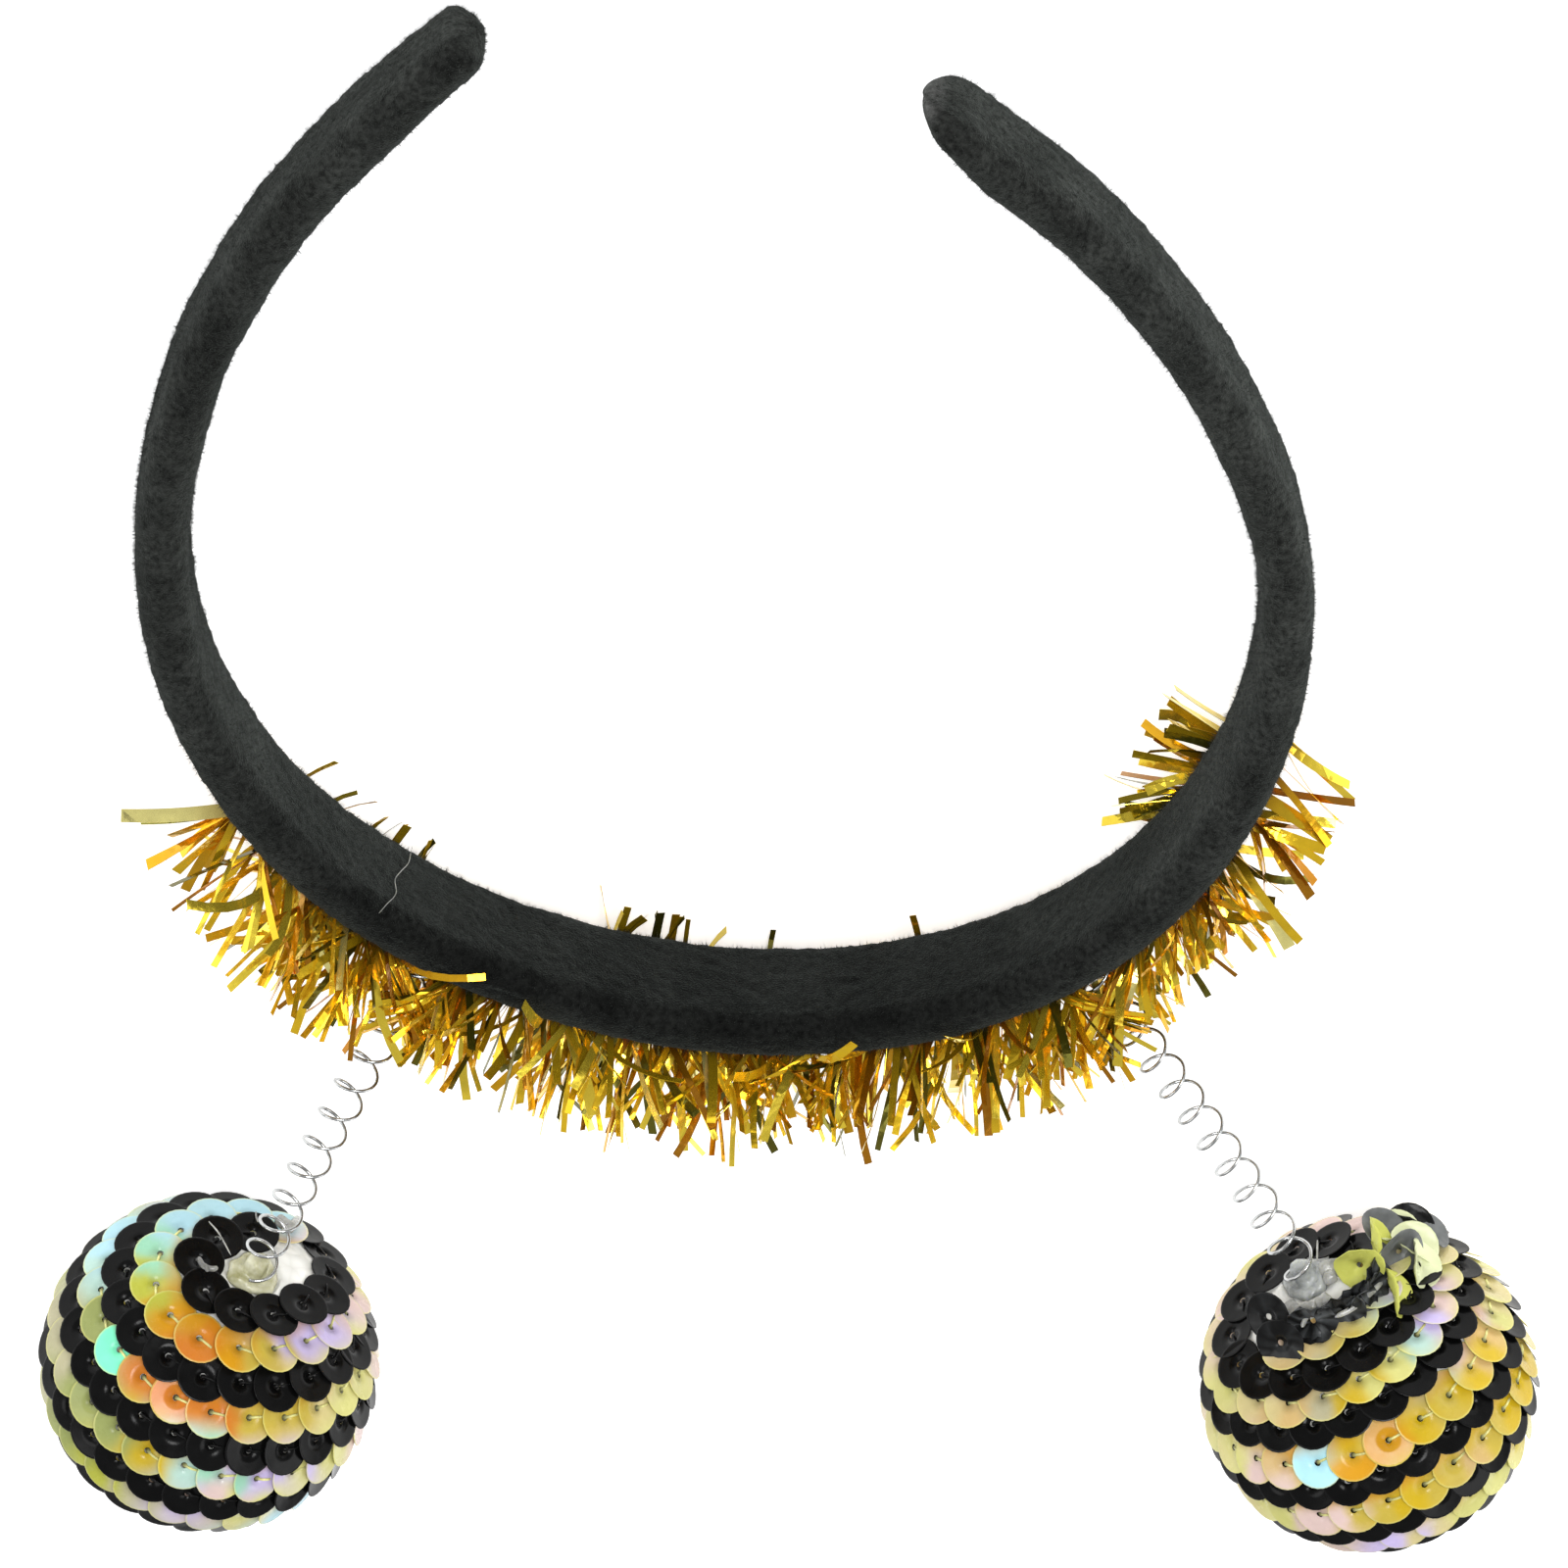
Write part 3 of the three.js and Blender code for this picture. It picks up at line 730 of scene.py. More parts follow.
def splay_paths(random, section, way, turns, rises, lengths):
    """Strips splayed past an end of the garland."""
    count = len(section.row)
    turn = np.radians(np.linspace(*turns, count) + random.uniform(-5, 5, count))
    rise = random.uniform(*rises, count)
    direction = unit(weigh((section.out, np.cos(turn)), (section.along, way * np.sin(turn)), (UP, rise)))
    length = random.uniform(*lengths, count)[:, None]
    return straight_strips(section.core(), direction, length, 0.1, random)


def under_paths(random):
    """Strips that pass under the band and show on its inside."""
    row = np.concatenate([random.uniform(a, b, count) for a, b, count, _ in UNDER_STRIPS])
    reach = np.concatenate([random.uniform(0.5, 1.1, count) * far for _, _, count, far in UNDER_STRIPS])
    n = len(row)
    section = Section(row)
    face, low = section.thick / 2, -section.wide / 2
    lean = random.normal(0, 1.6, n)
    first = section.beside(face + 1.5, low - 0.6, lean * 0.3)
    second = section.beside(0.5, low - random.uniform(1.2, 2.2, n), lean * 0.6)
    tip = section.beside(-face - reach, low - random.uniform(0.2, 1.2, n), lean * 1.3)
    return strips(section.core(), first, second, tip)


def over_paths():
    """Strips that lie over the band's upper edge."""
    row, far, out = np.array(OVER_STRIPS).T
    section = Section(row)
    high = section.wide / 2
    first = section.beside(section.thick / 2 + 1.6, high, far * 0.2)
    second = section.beside(out / 2 + 1.5, high + 1.2, far * 0.6)
    return strips(section.core(), first, second, section.beside(out, high + 0.6, far))


def cover_paths(random, ball):
    """Strips that reach over the root of a spring."""
    n = COVER_STRIPS
    section = Section(np.full(n, ball["row"]))
    axis, _ = spring_axis(ball)
    heading = axis[60] - axis[0]
    drift = heading @ section.along[0] / (heading @ section.out[0])
    foot = random.choice((-1, 1), n) * random.uniform(2.4, 6.0, n)
    face = section.thick / 2
    over = random.uniform(1.5, 6.0, n)
    far = over + random.uniform(3.0, 6.0, n)
    base = section.beside(face + GAP + CORE_RADIUS, CORE_RISE, foot)
    first = section.beside(face + over * 0.4, ROOT_RISE + 2.0, foot)
    second = section.beside(face + over, ROOT_RISE + random.uniform(3.4, 5.2, n), foot * 0.2 + drift * over)
    tip = section.beside(face + far, ROOT_RISE + random.uniform(1.5, 5.0, n), drift * far - 0.7 * foot)
    return strips(base, first, second, tip)


def end_paths(random):
    """Strips at the garland's right end that reach under the band to its inside."""
    n = END_STRIPS
    end = Section(np.full(n, CORE_TO))
    share = np.linspace(0, 1, n) + random.uniform(-0.06, 0.06, n)
    base = end.beside(1.0, -(end.wide / 2 + random.uniform(0.7, 1.6, n)), 8.6 - 12.6 * share)
    turn = np.radians(86 + 50 * share + random.uniform(-7, 7, n))
    drop = random.uniform(-0.05, 0.12, n)
    direction = unit(weigh((end.along, np.cos(turn)), (end.out, -np.sin(turn)), (UP, -drop)))
    length = (random.uniform(8.6, 12.6, n) - 2.0 * share)[:, None]
    return straight_strips(base, direction, length, 0.15, random)


def back_paths(random):
    """Strips pressed between the core and the band."""
    section = Section(even_rows(BACK_STRIPS, CORE_FROM, CORE_TO))
    face = section.thick / 2 + random.uniform(0.1, 0.7, BACK_STRIPS)
    far = random.normal(0, 4.0, BACK_STRIPS)
    rise = random.uniform(-3.5, 3.0, BACK_STRIPS)
    return strips(*(section.beside(face, CORE_RISE + rise * share, far * share) for share in (0, 0.5, 1)))


def clear_of_springs(paths, axes):
    """Which strips stay clear of both springs."""
    keep = np.ones(len(paths), bool)
    for axis in axes:
        near = np.linalg.norm(paths[:, :, None] - axis[None, None], axis=-1).min(axis=(1, 2))
        keep &= near > SPRING_CLEAR
    return keep


def make_strips(name, groups, axes, random):
    """A piece of strips from groups of paths in the band's plane, without those that would touch a spring.

    Each group says whether its strips are broad, and how bright they are.
    """
    counts = [len(paths) for paths, _, _ in groups]
    broad = np.repeat([wide for _, wide, _ in groups], counts)
    dim = np.repeat([bright for _, _, bright in groups], counts)
    paths = from_ring(np.concatenate([paths for paths, _, _ in groups]))
    keep = clear_of_springs(paths, axes)
    paths, broad, dim = paths[keep], broad[keep], dim[keep]
    paths[..., 2] = np.maximum(paths[..., 2], LEAST_HEIGHT)
    rings, tints = foil_strips(paths, broad, dim, random)
    points, faces = tubes(rings)
    make_piece(name, points, faces, FOIL, "headband", "tinsel", tints, smooth=False)


def build_tinsel(axes):
    random = np.random.default_rng(7)
    start = Section(np.full(START_STRIPS, CORE_FROM))
    # Strips that pass under the band, and those at its right end that reach under it, get dimmer tints:
    # painted shade.
    groups = [
        (fringe_paths(random), False, 1.0),
        (splay_paths(random, start, *START_SPLAY), True, 0.9),
        (under_paths(random), False, 0.68),
        (over_paths(), True, 1.0),
        (end_paths(random), True, 0.8),
    ]
    tail = Section(CORE_TO + random.uniform(0.1, 0.6, TAIL_STRIPS))
    groups.append((splay_paths(random, tail, *TAIL_SPLAY), True, 1.0))
    groups += [(cover_paths(random, ball), False, 1.0) for ball in BALLS.values()]
    make_strips("tinsel_strips", groups, axes, random)
    random = np.random.default_rng(9)
    # The strips pressed between the core and the band get dimmer tints: painted shade.
    make_strips("tinsel_backing", [(back_paths(random), False, 0.8)], axes, random)


CORE_STATIONS = 420
YARN_RADIUS = 0.36
YARN_OFFSET = 0.32  # of each yarn from the core's middle
YARN_TWIST = 2.6  # length of a turn
YARN_SIDES = 8


def build_core():
    """The garland's core: two yarns twisted together."""
    core = core_spline()
    line = from_ring(core.at(np.linspace(0, core.count, CORE_STATIONS)))
    along = unit(np.gradient(line, axis=0))
    side = unit(np.cross(along, UP))
    top = np.cross(side, along)
    length = running_length(line)
    yarns = []
    for strand in range(2):
        turn = TURN * (length / YARN_TWIST + strand / 2)
        middle = line + YARN_OFFSET * weigh((side, np.cos(turn)), (top, np.sin(turn)))
        yarns.append(rings_round(middle, top, side, YARN_RADIUS, YARN_SIDES))
    points, faces = tubes(np.stack(yarns))
    make_piece("tinsel_core", points, faces, YARN, "headband", "tinsel")


THREAD_ROW = 6.49
THREAD_RADIUS = 0.055
STRAY_THREAD = [  # height over the width of the band's inner face, from -1 to 1, and millimetres along it
    (-1.0, 1.4), (-0.7, 0.8), (-0.4, 0.4), (-0.1, -0.6), (0.15, -1.3), (0.45, -1.1), (0.8, -2.2), (1.0, -2.8),
]


def build_stray_thread():
    """A clear thread that lies over the inside of the band, left of its middle."""
    share, along = np.array(STRAY_THREAD).T
    section = Section(np.full(len(share), THREAD_ROW))
    face = section.thick / 2 * (1 - 0.25 * share ** 4) + 0.1
    points = section.beside(-face, share * section.wide / 2, along)
    points, faces = tubes(tapered_tube(from_ring(points), THREAD_RADIUS, 60, 6)[None])
    make_piece("thread_stray", points, faces, FROST, "headband")


# The springs

def spring_axis(ball):
    """Points of a spring's axis at even distances, and its directions."""
    section = Section(ball["row"])
    start = from_ring(section.beside(section.thick / 2 + GAP + WIRE, ROOT_RISE))[0]
    pole = unit(np.array(ball["pole"]))
    end = ball_centre(ball) + pole * (FOAM_RADIUS - POCKET_DEPTH + GAP + GLUE_BRIM + GAP + WIRE / 2)
    third = np.linalg.norm(end - start) / 3
    control = [start, start + unit(end - start) * third, end + pole * third, end]
    fine = bezier([p[None] for p in control], np.linspace(0, 1, 2000))[0]
    length = running_length(fine)
    steps = np.linspace(0, length[-1], SPRING_STATIONS)
    axis = np.stack([np.interp(steps, length, fine[:, k]) for k in range(3)], axis=1)
    return axis, unit(np.gradient(axis, axis=0))


def ball_centre(ball):
    return np.array([ball["x"], ball["y"], BALL_RADIUS]) + SHIFT


SPRING_STATIONS = 700
WIRE_SIDES = 10
WIRE_RADIUS = 0.2


def build_spring(side, ball):
    axis, along = spring_axis(ball)
    sideways = unit(np.cross(UP, along))
    top = np.cross(along, sideways)
    angle = TURN * ball["turns"] * np.linspace(0, 1, SPRING_STATIONS)
    outward = weigh((sideways, np.cos(angle)), (top, np.sin(angle)))
    line = axis + COIL_RADIUS * outward
    forward = unit(np.gradient(line, axis=0))
    outward = unit(outward - forward * np.sum(outward * forward, axis=1, keepdims=True))
    rings = rings_round(line, outward, np.cross(forward, outward), WIRE_RADIUS, WIRE_SIDES)
    points, faces = tubes(rings[None])
    spring = make_piece(f"spring_wire_{side}", points, faces, WIRE_METAL,
                        None, f"spring_{side}")
    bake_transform(spring)
    return axis


# The balls

def ball_axes(ball):
    """The ball's own x, y and z directions as columns, with z along its pole."""
    turn = Vector((0, 0, 1)).rotation_difference(Vector(ball["pole"]).normalized())
    return np.array(turn.to_matrix())


def to_row(ball, local):
    return np.asarray(local) @ ball_axes(ball).T + ball_centre(ball)


def lathe(profile, sides):
    """A closed turned skin from rows of (radius, height) between two points on the axis."""
    x, y, z = np.eye(3)
    radius, height = np.array(profile[1:-1], float).T
    return tubes(rings_round(weigh((z, height)), x, y, radius[:, None, None], sides)[None])


FOAM_SIDES = 72
FOAM_ROUGH = 0.0015  # share of the radius by which points stray


def build_foam(side, ball):
    mouth = math.asin(POCKET_RADIUS / FOAM_RADIUS)
    floor = FOAM_RADIUS - POCKET_DEPTH
    profile = [(0, -FOAM_RADIUS)]
    angles = np.linspace(math.pi, mouth, 60)[1:]
    profile += [(FOAM_RADIUS * math.sin(a), FOAM_RADIUS * math.cos(a)) for a in angles]
    profile += [(POCKET_RADIUS - 0.1, floor + 0.25), (POCKET_RADIUS - 0.5, floor), (0.4, floor), (0, floor)]
    points, faces = lathe(profile, FOAM_SIDES)
    points = points * (1 + np.random.default_rng(41).normal(0, FOAM_ROUGH, (len(points), 1)))
    make_piece(f"foam_ball_{side}", to_row(ball, points), faces, FOAM,
               f"ball_{side}", f"foam_{side}")


GLUE_PROFILE = [  # radius, and height above the pocket's floor
    (0, 0), (0.5, 0), (2.2, 0), (2.75, 0.1), (2.9, 0.45), (2.8, 0.95), (2.55, 1.25), (2.15, 1.3),
    (1.8, 1.2), (1.5, 1.35), (1.35, 1.9), (1.3, 2.6), (1.15, 3.2), (0.8, 3.45), (0.3, 3.5), (0, 3.5),
]
GLUE_SIDES = 40


def build_glue(side, ball):
    floor = FOAM_RADIUS - POCKET_DEPTH + 0.05
    points, faces = lathe([(radius, floor + height) for radius, height in GLUE_PROFILE], GLUE_SIDES)
    angle = np.arctan2(points[:, 1], points[:, 0])
    lump = 1 + 0.08 * np.sin(3 * angle + points[:, 2]) + 0.05 * np.sin(7 * angle - 2 * points[:, 2])
    points[:, :2] *= lump[:, None]
    points[:, 2] += 0.15 * np.sin(2 * angle + 1) * (points[:, 2] > floor + 0.3)
    make_piece(f"glue_cup_{side}", to_row(ball, points), faces, GLUE[side],
               f"ball_{side}", f"glue_{side}")


SEQUIN_RADIUS = 3.0
SEQUIN_SPACING = 4.35
SEQUIN_THICK = 0.09
SEQUIN_CUP = 0.12
SEQUIN_HOLE = 0.38
SEQUIN_CENTRE = 18.19
SEQUIN_SIDES = 24
ROW_TILT = 18.0
STRING_TILT = 7.0
TILT_STRAY = 0.7  # degrees
PLACE_STRAY = 0.1
STRING_TURNS = 8  # more than any string needs
STRING_STEPS = 16000
SWELL_ROWS = (10, 30, 31, 81)  # degrees between which the rows' swell grows, and fades again
SWELL_LEFT = 0.375  # how much more they swell on the left
FAR_RING = 5  # black sequins round the far pole, under a last one
FAR_POLAR = math.radians(170)
GOLD_LAST = math.radians(160)  # where the gold string ends, short of that ring
LAST_LIFT = 1.2  # of the last sequin above the rest

TINTS = {
    "sky": (0.74, 0.88, 0.92),
    "mint": (0.68, 0.88, 0.77),
    "pale_mint": (0.77, 0.88, 0.84),
    "olive": (0.67, 0.70, 0.46),
    "lime": (0.78, 0.79, 0.36),
    "orange": (0.87, 0.56, 0.21),
    "amber": (0.87, 0.66, 0.16),
    "yellow": (0.85, 0.74, 0.18),
    "gold": (0.83, 0.75, 0.36),
    "lemon": (0.88, 0.87, 0.58),
    "cream": (0.88, 0.83, 0.63),
    "peach": (0.87, 0.76, 0.54),
    "pink": (0.91, 0.82, 0.80),
    "lavender": (0.85, 0.80, 0.95),
    "beige": (0.79, 0.77, 0.65),
    "bright_mint": (0.60, 1.0, 0.84),
    "bright_sky": (0.78, 0.96, 1.0),
    "leaf": (0.84, 0.85, 0.42),
    "pale_lime": (0.88, 0.90, 0.72),
    "black": (0.10, 0.10, 0.10),
    # A black sequin that catches the light: a painted sheen.
    "sheen_grey": (0.52, 0.53, 0.53),
}
# Where each tint lies on the half of a ball that faces the camera, right and up from its middle in radii. The
# tints are partly the sequins' own golds and partly painted reflection: their pastel iridescent shine as the
# camera sees it.
ZONES = {
    "left": [
        (0.22, 0.96, "sky"), (-0.17, 0.83, "sky"), (-0.55, 0.76, "sky"), (-0.29, 0.69, "mint"),
        (-0.62, 0.60, "pale_mint"), (-0.32, 0.48, "lime"), (-0.64, 0.40, "olive"), (-0.62, 0.20, "olive"),
        (-0.19, 0.32, "amber"), (0.00, 0.19, "orange"), (0.20, 0.12, "amber"), (0.49, 0.10, "gold"),
        (0.65, 0.19, "lavender"), (0.79, 0.31, "lavender"), (0.88, 0.45, "pink"), (-0.32, -0.10, "orange"),
        (-0.11, -0.22, "orange"), (0.10, -0.28, "orange"), (0.33, -0.30, "gold"), (0.54, -0.25, "gold"),
        (0.72, -0.17, "cream"), (0.85, -0.09, "lemon"), (-0.90, 0.25, "beige"), (-0.87, 0.07, "beige"),
        (-0.77, -0.12, "olive"), (-0.64, -0.29, "olive"), (-0.45, -0.45, "yellow"),
        (-0.21, -0.55, "pale_mint"), (0.02, -0.63, "mint"), (0.25, -0.64, "lavender"),
        (0.47, -0.63, "lavender"), (0.65, -0.55, "lemon"), (0.78, -0.50, "lemon"), (-0.81, -0.48, "olive"),
        (-0.65, -0.63, "lime"), (-0.43, -0.74, "beige"), (-0.20, -0.81, "lavender"), (0.03, -0.84, "pink"),
        (0.22, -0.86, "lemon"),
    ],
    "right": [
        (-0.09, 0.96, "pink"), (-0.28, 0.93, "pink"), (-0.69, 0.63, "cream"), (-0.83, 0.45, "pink"),
        (-0.83, 0.29, "pink"), (0.43, 0.69, "lemon"), (0.46, 0.59, "pink"), (0.37, 0.41, "lavender"),
        (0.24, 0.23, "pale_mint"), (0.08, 0.08, "lemon"), (-0.16, -0.08, "yellow"), (-0.38, -0.14, "beige"),
        (-0.59, -0.15, "peach"), (-0.78, -0.12, "cream"), (-0.90, 0.00, "lemon"), (0.70, 0.65, "cream"),
        (0.71, 0.41, "lemon"), (0.68, 0.26, "peach"), (0.63, 0.10, "yellow"), (0.49, -0.07, "gold"),
        (0.30, -0.23, "yellow"), (0.09, -0.36, "amber"), (-0.12, -0.45, "amber"), (-0.53, -0.52, "peach"),
        (-0.68, -0.51, "pink"), (-0.81, -0.45, "lemon"), (0.88, -0.14, "yellow"), (0.74, -0.29, "gold"),
        (0.57, -0.45, "peach"), (0.37, -0.58, "gold"), (0.15, -0.67, "yellow"), (-0.04, -0.76, "gold"),
        (-0.23, -0.79, "pink"), (-0.40, -0.82, "pink"), (-0.55, -0.79, "lemon"), (0.20, -0.94, "lavender"),
        (0.43, -0.87, "cream"), (0.61, -0.73, "lemon"), (0.76, -0.61, "lemon"),
    ],
}
# One sequin on each ball, drawn bright where it catches the key light: a painted highlight.
PAINTED_GLINTS = {"left": (-0.49, 0.03, "bright_mint"), "right": (-0.32, -0.47, "bright_sky")}
SHADED = linear((0.86, 0.64, 0.12))  # what shows of a gold sequin where the row above shades it
LIT = 0.84  # share of a tint that the studio's light brings back to full


def facing(x, y):
    """A direction on the half of a ball that faces the camera."""
    toward = math.sqrt(max(0.0, 1 - x * x - y * y))
    return x * PICTURE_RIGHT + y * PICTURE_UP + toward * TO_CAMERA


def in_picture(angle):
    """A direction in the picture, at an angle from its right."""
    return PICTURE_RIGHT * math.cos(angle) + PICTURE_UP * math.sin(angle)


def row_at(ball, colour, azimuth):
    """Degrees from the pole to a string at azimuths in degrees."""
    turn = (azimuth - ball["level"]) / 360
    whole = np.floor(turn)
    stepped = whole + smoothstep(1 - ball["step"], 1, turn - whole)
    row = ball["rows"][colour] + ball["pitch"] * stepped
    row = np.maximum(ball["least"], row + ball["first"][colour] * np.maximum(0, 1 - np.abs(stepped)))
    side = np.sin(np.radians(azimuth))
    reach = np.interp(row, SWELL_ROWS, (0, 1, 1, 0))
    return row + ball["swell"] * (1 - SWELL_LEFT * side) * side ** 2 * reach


def string_places(ball, colour):
    """Polar angles and azimuths, in radians, of a string's sequins from the pole to the far side."""
    azimuth = ball["from"][colour] + np.linspace(0, STRING_TURNS * 360, STRING_STEPS)
    row = row_at(ball, colour, azimuth)
    kept = row < ROW_MOST
    polar, azimuth = np.radians(row[kept]), np.radians(azimuth[kept])
    step = np.hypot(np.diff(polar), np.diff(azimuth) * np.sin(polar[1:])) * SEQUIN_CENTRE
    length = np.concatenate([[0], np.cumsum(step)])
    places = np.arange(0, length[-1], SEQUIN_SPACING)
    return np.interp(places, length, polar), np.interp(places, length, azimuth)


def sphere(polar, azimuth):
    """Directions from the ball's middle, to greater polar angles, and along the row."""
    sp, cp, sa, ca = np.sin(polar), np.cos(polar), np.sin(azimuth), np.cos(azimuth)
    n = np.stack([sp * sa, -sp * ca, cp], axis=-1)
    p = np.stack([cp * sa, -cp * ca, -sp], axis=-1)
    a = np.stack([ca, sa, np.zeros_like(sa)], axis=-1)
    return n, p, a


def sequin_frames(polar, azimuth, random):
    """Each sequin's middle and its directions: away from the pole, along the row, and out of its face."""
    count = len(polar)
    n, p, a = sphere(polar, azimuth)
    tilt = np.radians(ROW_TILT + random.normal(0, TILT_STRAY, (count, 1)))
    lean = np.radians(STRING_TILT + random.normal(0, TILT_STRAY, (count, 1)))
    normal = unit(n - np.tan(tilt) * p + np.tan(lean) * a)
    away = unit(p - np.sum(p * normal, axis=1, keepdims=True) * normal)
    along = np.cross(normal, away)
    middle = n * SEQUIN_CENTRE + p * random.normal(0, PLACE_STRAY, (count, 1))
    middle = middle + a * random.normal(0, PLACE_STRAY, (count, 1))
    return middle, away, along, normal


SEQUIN_PROFILE = [  # share of the way from the hole to the rim, and the side: 1 on top, -1 underneath
    (0.0, 1), (0.45, 1), (0.9, 1), (0.985, 1), (1.0, 0.2), (0.985, -1), (0.8, -1), (0.0, -1),
]


def sequin_shape():
    """One sequin's points, shaped (round, profile, 3): a cup with a hole. Also its profile's shares."""
    share, side = np.array(SEQUIN_PROFILE).T
    radius = SEQUIN_HOLE + (SEQUIN_RADIUS - SEQUIN_HOLE) * share
    height = SEQUIN_CUP * (radius / SEQUIN_RADIUS) ** 2 + SEQUIN_THICK / 2 * side
    angle = np.linspace(0, TURN, SEQUIN_SIDES, endpoint=False)[:, None]
    height = np.broadcast_to(height, (SEQUIN_SIDES, len(share)))
    return np.stack([radius * np.cos(angle), radius * np.sin(angle), height], axis=-1), share


def sequin_faces(count):
    """Faces of closed rings shaped (sequin, round, profile)."""
    profile = len(SEQUIN_PROFILE)
    index = np.arange(count * SEQUIN_SIDES * profile).reshape(count, SEQUIN_SIDES, profile)
    turned = np.roll(index, -1, axis=1)
    quads = np.stack([index, np.roll(index, -1, axis=2), np.roll(turned, -1, axis=2), turned], axis=-1)
    return [quads.reshape(-1, 4)[:, ::-1]]


TINT_STRAY = 1.6  # millimetres by which a sequin's place strays before it gets its tint
TINT_SPREAD = 0.04


def gold_tints(side, ball, middle, points, random):
    """Tints for the points of gold sequins, shaped as the points, from the zones that they lie between."""
    zones = ZONES[side]
    places = np.array([facing(x, y) for x, y, _ in zones] + [-facing(-x, y) for x, y, _ in zones[::2]])
    colours = linear([TINTS[tint] for _, _, tint in zones + zones[::2]])
    turn = ball_axes(ball).T
    stray = random.normal(0, TINT_STRAY, middle.shape)
    heading = unit((middle + stray)[:, None, None] + 1.5 * (points - middle[:, None, None])) @ turn
    near = heading.reshape(-1, 3) @ places.T
    weight = 1 / (np.sqrt(np.maximum(2 - 2 * near, 0)) + TINT_SPREAD) ** 5
    weight /= weight.sum(axis=1, keepdims=True)
    # These tints carry painted reflection as well as the sequins' own golds.
    tints = (weight @ colours).reshape(points.shape)
    tints = tints * random.uniform(0.94, 1.05, (len(tints), 1, 1, 1))
    # The sequin that catches the key light gets a bright tint: painted highlight.
    x, y, tint = PAINTED_GLINTS[side]
    tints[np.argmin(np.linalg.norm(unit(middle) @ turn - facing(x, y), axis=1))] = linear(TINTS[tint])
    return tints


def sequin_points(middle, away, along, normal, shape):
    """The points of sequins of one shape, shaped (sequin, round, profile, 3)."""
    directions = np.stack([away, along, normal], axis=1)
    return middle[:, None, None] + np.einsum("rpk,nkx->nrpx", shape, directions)


BLACK_TINT = 0.003
BLACK_RIM_GLINT = 0.005  # what a black sequin's rim adds to that: a painted highlight along its edge
# The tint that a gold sequin's rim is drawn half way to: a painted highlight along its edge.
GOLD_RIM_GLINT = np.array([0.68, 0.66, 0.2])
RIM_FROM = 0.95


def build_string(side, ball, colour, seed):
    random = np.random.default_rng(seed)
    polar, azimuth = string_places(ball, colour)
    frames = sequin_frames(polar, azimuth, random)
    if colour == "black":
        turn = np.linspace(0, TURN, FAR_RING, endpoint=False)
        ring = sequin_frames(np.full(FAR_RING, FAR_POLAR), turn, random)
        last = ([0, 0, -SEQUIN_CENTRE - LAST_LIFT], [1, 0, 0], [0, -1, 0], [0, 0, -1])
        frames = [np.vstack(parts) for parts in zip(frames, ring, last)]
    shape, share = sequin_shape()
    points = sequin_points(*frames, shape)
    rim = (share > RIM_FROM)[None, None, :, None]
    if colour == "gold":
        tints = gold_tints(side, ball, frames[0], points, random)
        shade = 0.5 * smoothstep(-0.2, -0.75, shape[..., 0] / SEQUIN_RADIUS)[None, ..., None]
        tints = LIT * (tints * (1 - shade) + SHADED * shade) ** 1.22
        # Rims drawn paler: painted highlight.
        tints = tints + rim * 0.5 * (GOLD_RIM_GLINT - tints)
        kept = polar < GOLD_LAST
        points, tints, frames = points[kept], tints[kept], [v[kept] for v in frames]
    else:
        tints = np.full(points.shape, BLACK_TINT) * random.uniform(0.8, 1.3, (len(points), 1, 1, 1))
        # Rims drawn paler: painted highlight.
        tints = tints + BLACK_RIM_GLINT * rim
    row_points = to_row(ball, points.reshape(-1, 3))
    row_points[:, 2] = np.maximum(row_points[:, 2], 0.02)
    make_piece(f"sequins_{colour}_string_{side}", row_points, sequin_faces(len(points)), SEQUIN[colour],
               f"ball_{side}", f"sequins_{colour}_{side}", tints.reshape(-1, 3))
    build_stitches(side, ball, colour, *(v[:len(polar)] for v in frames), random)


STITCH_TINTS = {"gold": linear((0.90, 0.89, 0.60)), "black": linear((0.07, 0.07, 0.07))}
STITCH_RADIUS = {"gold": 0.15, "black": 0.1}
STITCH_PLUG = np.array([0.35, 0.32, 0, 0, 0, 0])  # least radius at each place, to fill the hole
STITCH_SHADE = np.array([0.12, 0.2, 0.7, 1, 1, 1])
STITCH_REACH = 1.75
STITCH_SIDES = 6


def build_stitches(side, ball, colour, middle, away, along, normal, random):
    """The thread from each sequin's hole to under the next one."""
    count = len(middle)
    side_step = random.normal(0, 0.18, (count, 1))
    drop = middle - normal * 0.5
    start = middle + normal * 0.3 + along * 0.05
    far = middle + along * STITCH_REACH + away * side_step + normal * 0.1
    path = bezier([drop, start, far - along * 0.8 + normal * 0.06, far], np.linspace(0, 1, len(STITCH_PLUG)))
    forward = unit(np.gradient(path, axis=1))
    across = unit(np.cross(forward, normal[:, None]))
    radius = np.maximum(STITCH_RADIUS[colour], STITCH_PLUG)[:, None, None]
    points, faces = tubes(rings_round(path, across, np.cross(forward, across), radius, STITCH_SIDES))
    tints = STITCH_TINTS[colour] * random.uniform(0.8, 1.1, (count, 1, 1)) * STITCH_SHADE[:, None]
    make_piece(f"stitches_{colour}_{side}", to_row(ball, points), faces, THREAD, f"ball_{side}",
               colours=np.repeat(tints.reshape(-1, 3), STITCH_SIDES, axis=0))


